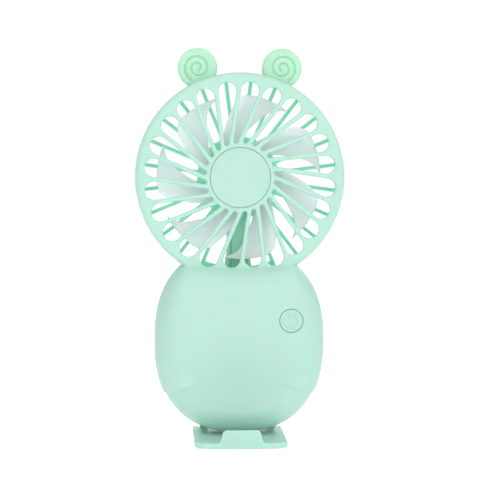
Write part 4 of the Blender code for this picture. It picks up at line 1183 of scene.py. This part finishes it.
def new_look(name, group, settings, **shader_values):
    """A material whose colour, roughness and normal come from a surface group."""
    look = bpy.data.materials.new(name)
    look.use_nodes = True
    tree = look.node_tree
    shader = tree.nodes["Principled BSDF"]
    surface = add_node(tree, "ShaderNodeGroup", node_tree=group)
    for key, value in settings.items():
        surface.inputs[key].default_value = value
    tree.links.new(surface.outputs["Colour"], shader.inputs["Base Color"])
    tree.links.new(surface.outputs["Roughness"], shader.inputs["Roughness"])
    tree.links.new(surface.outputs["Normal"], shader.inputs["Normal"])
    for key, value in shader_values.items():
        shader.inputs[key.replace("_", " ").title().replace("Ior", "IOR")].default_value = value
    return look


def plastic(name, colour, gloss, mottle=0.02, grain=(2400, 0.00001), **shader_values):
    settings = {"Colour": (*colour, 1), "Mottle": mottle, "Grain Scale": grain[0], "Grain Depth": grain[1]}
    settings.update({"Gloss Low": gloss[0], "Gloss High": gloss[1]})
    return new_look(name, MOULDED, settings, **shader_values)


def metal(name, colour, gloss, stretch=(1, 1, 1), depth=0.000005):
    settings = {"Colour": (*colour, 1), "Stretch": stretch, "Line Depth": depth}
    settings.update({"Gloss Low": gloss[0], "Gloss High": gloss[1]})
    return new_look(name, DRAWN, settings, metallic=1.0)


MOULDED = moulded_group()
DRAWN = drawn_group()

GREEN_GLOW = (0.3, 1.0, 0.65)
MINT = plastic("mint_plastic", (0.42, 0.655, 0.565), (0.34, 0.44), 0.015, (2600, 0.000012),
               subsurface_weight=0.5, subsurface_scale=0.003, subsurface_radius=GREEN_GLOW)
# The rear shell is the same mint plastic as the front, drawn greener and brighter: painted glow standing in
# for light shining through the translucent grille from behind. Its subsurface scattering is real
# translucency.
MINT_REAR_PAINTED_GLOW = plastic("mint_rear_painted_glow", (0.41, 0.73, 0.565), (0.36, 0.46), 0.015, (2600, 0.000012),
                    subsurface_weight=0.9, subsurface_scale=0.006, subsurface_radius=GREEN_GLOW)
# The channel cover is the same mint plastic, drawn in a deeper, more saturated green: painted shade for the
# deep channel that subsurface light does not reach.
CHANNEL_PAINTED_SHADE = plastic("mint_channel_painted_shade", (0.30, 0.82, 0.53), (0.36, 0.46), 0.015, (2600, 0.000012),
                       subsurface_weight=0.6, subsurface_scale=0.006, subsurface_radius=GREEN_GLOW)
EAR_LOOK = plastic("ear_plastic", (0.42, 0.70, 0.52), (0.28, 0.38), 0.02, (2600, 0.00001),
                   subsurface_weight=0.5, subsurface_scale=0.004, subsurface_radius=GREEN_GLOW)
FROSTED = plastic("frosted_plastic", (0.86, 0.94, 0.98), (0.42, 0.5), 0.02, (1800, 0.00002),
                  subsurface_weight=0.5, subsurface_scale=0.003, subsurface_radius=(0.8, 0.9, 1.0),
                  transmission_weight=0.1, ior=1.45)
STEEL = metal("steel", (0.56, 0.57, 0.58), (0.22, 0.34))
BRONZE = metal("bronze", (0.48, 0.31, 0.16), (0.35, 0.5))
COPPER = metal("copper", (0.72, 0.39, 0.22), (0.25, 0.4), (1, 12, 1), 0.00004)
NICKEL = metal("nickel", (0.66, 0.64, 0.60), (0.2, 0.32), (1, 6, 1))
FERRITE = plastic("ferrite", (0.06, 0.06, 0.065), (0.55, 0.7), 0.12, (900, 0.00003))
BLACK = plastic("black_plastic", (0.02, 0.02, 0.022), (0.42, 0.55), 0.1)
CREAM = plastic("cream_plastic", (0.75, 0.71, 0.60), (0.4, 0.5), 0.03)
CELL_WRAP = plastic("cell_wrap", (0.12, 0.33, 0.55), (0.22, 0.32), 0.05, (300, 0.00002), coat_weight=0.4)
BOARD_GREEN = plastic("board_green", (0.02, 0.16, 0.07), (0.25, 0.4), 0.3, (700, 0.00003), coat_weight=0.3)
LAMP = plastic("lamp_lens", (0.86, 0.90, 0.80), (0.1, 0.2), 0.02, transmission_weight=0.6)
RUBBER = plastic("pad_rubber", (0.62, 0.78, 0.70), (0.6, 0.75), 0.05, (1200, 0.00004))
RED = plastic("red_insulation", (0.55, 0.03, 0.02), (0.35, 0.45), 0.06, (800, 0.00001))
BLACK_WIRE = plastic("black_insulation", (0.03, 0.03, 0.03), (0.35, 0.45), 0.1, (800, 0.00001))

NODE_LOOKS = {
    STEEL: ["motor_can", "motor_shaft", "board_screw_1", "board_screw_2", "charging_socket", "foot_pin"],
    BRONZE: ["front_bush", "rear_bush"],
    COPPER: ["motor_rotor"],
    NICKEL: ["cell_tab_top", "cell_tab_bottom"],
    FERRITE: ["motor_magnet", "inductor"],
    BLACK: ["charge_chip", "tact_switch", "switch_plunger", "socket_tongue"],
    CREAM: ["motor_end_cap"],
    CELL_WRAP: ["battery_cell"],
    BOARD_GREEN: ["control_board"],
    LAMP: ["status_lamp"],
    RED: ["motor_lead_red", "cell_lead_red"],
    BLACK_WIRE: ["motor_lead_black", "cell_lead_black"],
}


def dress_cad_nodes():
    for look, names in NODE_LOOKS.items():
        for name in names:
            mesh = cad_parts[name].data
            mesh.materials.clear()
            mesh.materials.append(look)


def build_pieces():
    mint = ("mint_plastic", MINT)
    build_front_shell(mint)
    # The rear shell takes the mint copy with painted backlit glow.
    build_rear_shell(("mint_plastic", MINT_REAR_PAINTED_GLOW))
    build_hub_cap(mint)
    for word, side in (("left", -1), ("right", 1)):
        build_ear(f"ear_disc_{word}", f"ear_{word}", side, ("ear_plastic", EAR_LOOK))
    build_impeller(("frosted_plastic", FROSTED))
    build_button(mint)
    for number, place in enumerate(SCREW_SPOTS, 1):
        build_screw(f"case_screw_{number}", f"shell_screw_{number}", place, ("steel", STEEL))
    for number, place in enumerate(MOTOR_SCREWS, 1):
        build_screw(f"motor_fixing_{number}", f"motor_screw_{number}", place, ("steel", STEEL))
    build_foot(mint, ("pad_rubber", RUBBER))
    build_lugs(mint)
    # The channel cover takes the mint copy with painted shade.
    build_conduit_cover(("mint_plastic", CHANNEL_PAINTED_SHADE))
    dress_cad_nodes()


# Floor, light and camera: the floor and the sky are brighter to the camera than to the fan

FLOOR_GLOW = (0.25, 0.5)
SKY_LEVEL = (0.66, 1.0)


def build_floor():
    look = bpy.data.materials.new("floor_white")
    look.use_nodes = True
    shader = look.node_tree.nodes["Principled BSDF"]
    shader.inputs["Base Color"].default_value = (0.95, 0.95, 0.95, 1)
    shader.inputs["Roughness"].default_value = 0.7
    shader.inputs["Emission Color"].default_value = (1, 1, 1, 1)
    seen = add_node(look.node_tree, "ShaderNodeLightPath").outputs["Is Camera Ray"]
    look.node_tree.links.new(span(look.node_tree, seen, FLOOR_GLOW), shader.inputs["Emission Strength"])
    mesh = bpy.data.meshes.new("floor")
    reach = 6.0
    corners = [(*corner, 0) for corner in rectangle((-reach, -reach), (reach, reach)).tolist()]
    mesh.from_pydata(corners, [], [(0, 1, 2, 3)])
    mesh.materials.append(look)
    floor = bpy.data.objects.new("floor", mesh)
    floor.location.z = -0.0002
    bpy.context.scene.collection.objects.link(floor)


def area_light(name, place, aim, size, power):
    lamp = bpy.data.lights.new(name, "AREA")
    lamp.shape = "RECTANGLE"
    lamp.size, lamp.size_y = size
    lamp.energy = power
    made = bpy.data.objects.new(name, lamp)
    bpy.context.scene.collection.objects.link(made)
    made.location = place
    made.rotation_euler = (Vector(aim) - Vector(place)).to_track_quat("-Z", "Y").to_euler()


def light_studio():
    world = bpy.data.worlds.new("studio")
    bpy.context.scene.world = world
    world.use_nodes = True
    sky = world.node_tree.nodes["Background"]
    sky.inputs["Color"].default_value = (1, 1, 1, 1)
    seen = add_node(world.node_tree, "ShaderNodeLightPath").outputs["Is Camera Ray"]
    world.node_tree.links.new(span(world.node_tree, seen, SKY_LEVEL), sky.inputs["Strength"])
    aim = (0, 0, 0.10)
    area_light("key_left", (-0.48, -0.66, 0.66), aim, (0.5, 0.6), 1.6)
    area_light("key_right", (0.60, -0.58, 0.64), aim, (0.5, 0.6), 2.1)
    area_light("top_soft", (0, -0.45, 0.95), aim, (0.8, 0.6), 1.0)
    area_light("front_low", (0, -0.8, 0.14), (0, 0, 0.02), (0.9, 0.2), 0.9)
    area_light("rear_fill", (0.2, 0.8, 0.5), aim, (0.8, 0.6), 2.0)


CAMERA_PLACE = (-0.0389, -0.7085, 0.136)
CAMERA_YAW = math.radians(3.147)
CAMERA_PITCH = math.radians(2.98)
CAMERA_ROLL = math.radians(0.192)


def build_camera():
    lens = bpy.data.cameras.new("camera")
    lens.lens = 108.5
    lens.sensor_width = 36.0
    camera = bpy.data.objects.new("camera", lens)
    bpy.context.scene.collection.objects.link(camera)
    turn = Matrix.Rotation(-CAMERA_YAW, 4, "Z") @ Matrix.Rotation(math.pi / 2 - CAMERA_PITCH, 4, "X")
    camera.matrix_world = Matrix.Translation(CAMERA_PLACE) @ turn @ Matrix.Rotation(CAMERA_ROLL, 4, "Z")
    bpy.context.scene.camera = camera
    bpy.context.scene.view_settings.view_transform = "Standard"


build_camera()
light_studio()
build_floor()
build_pieces()
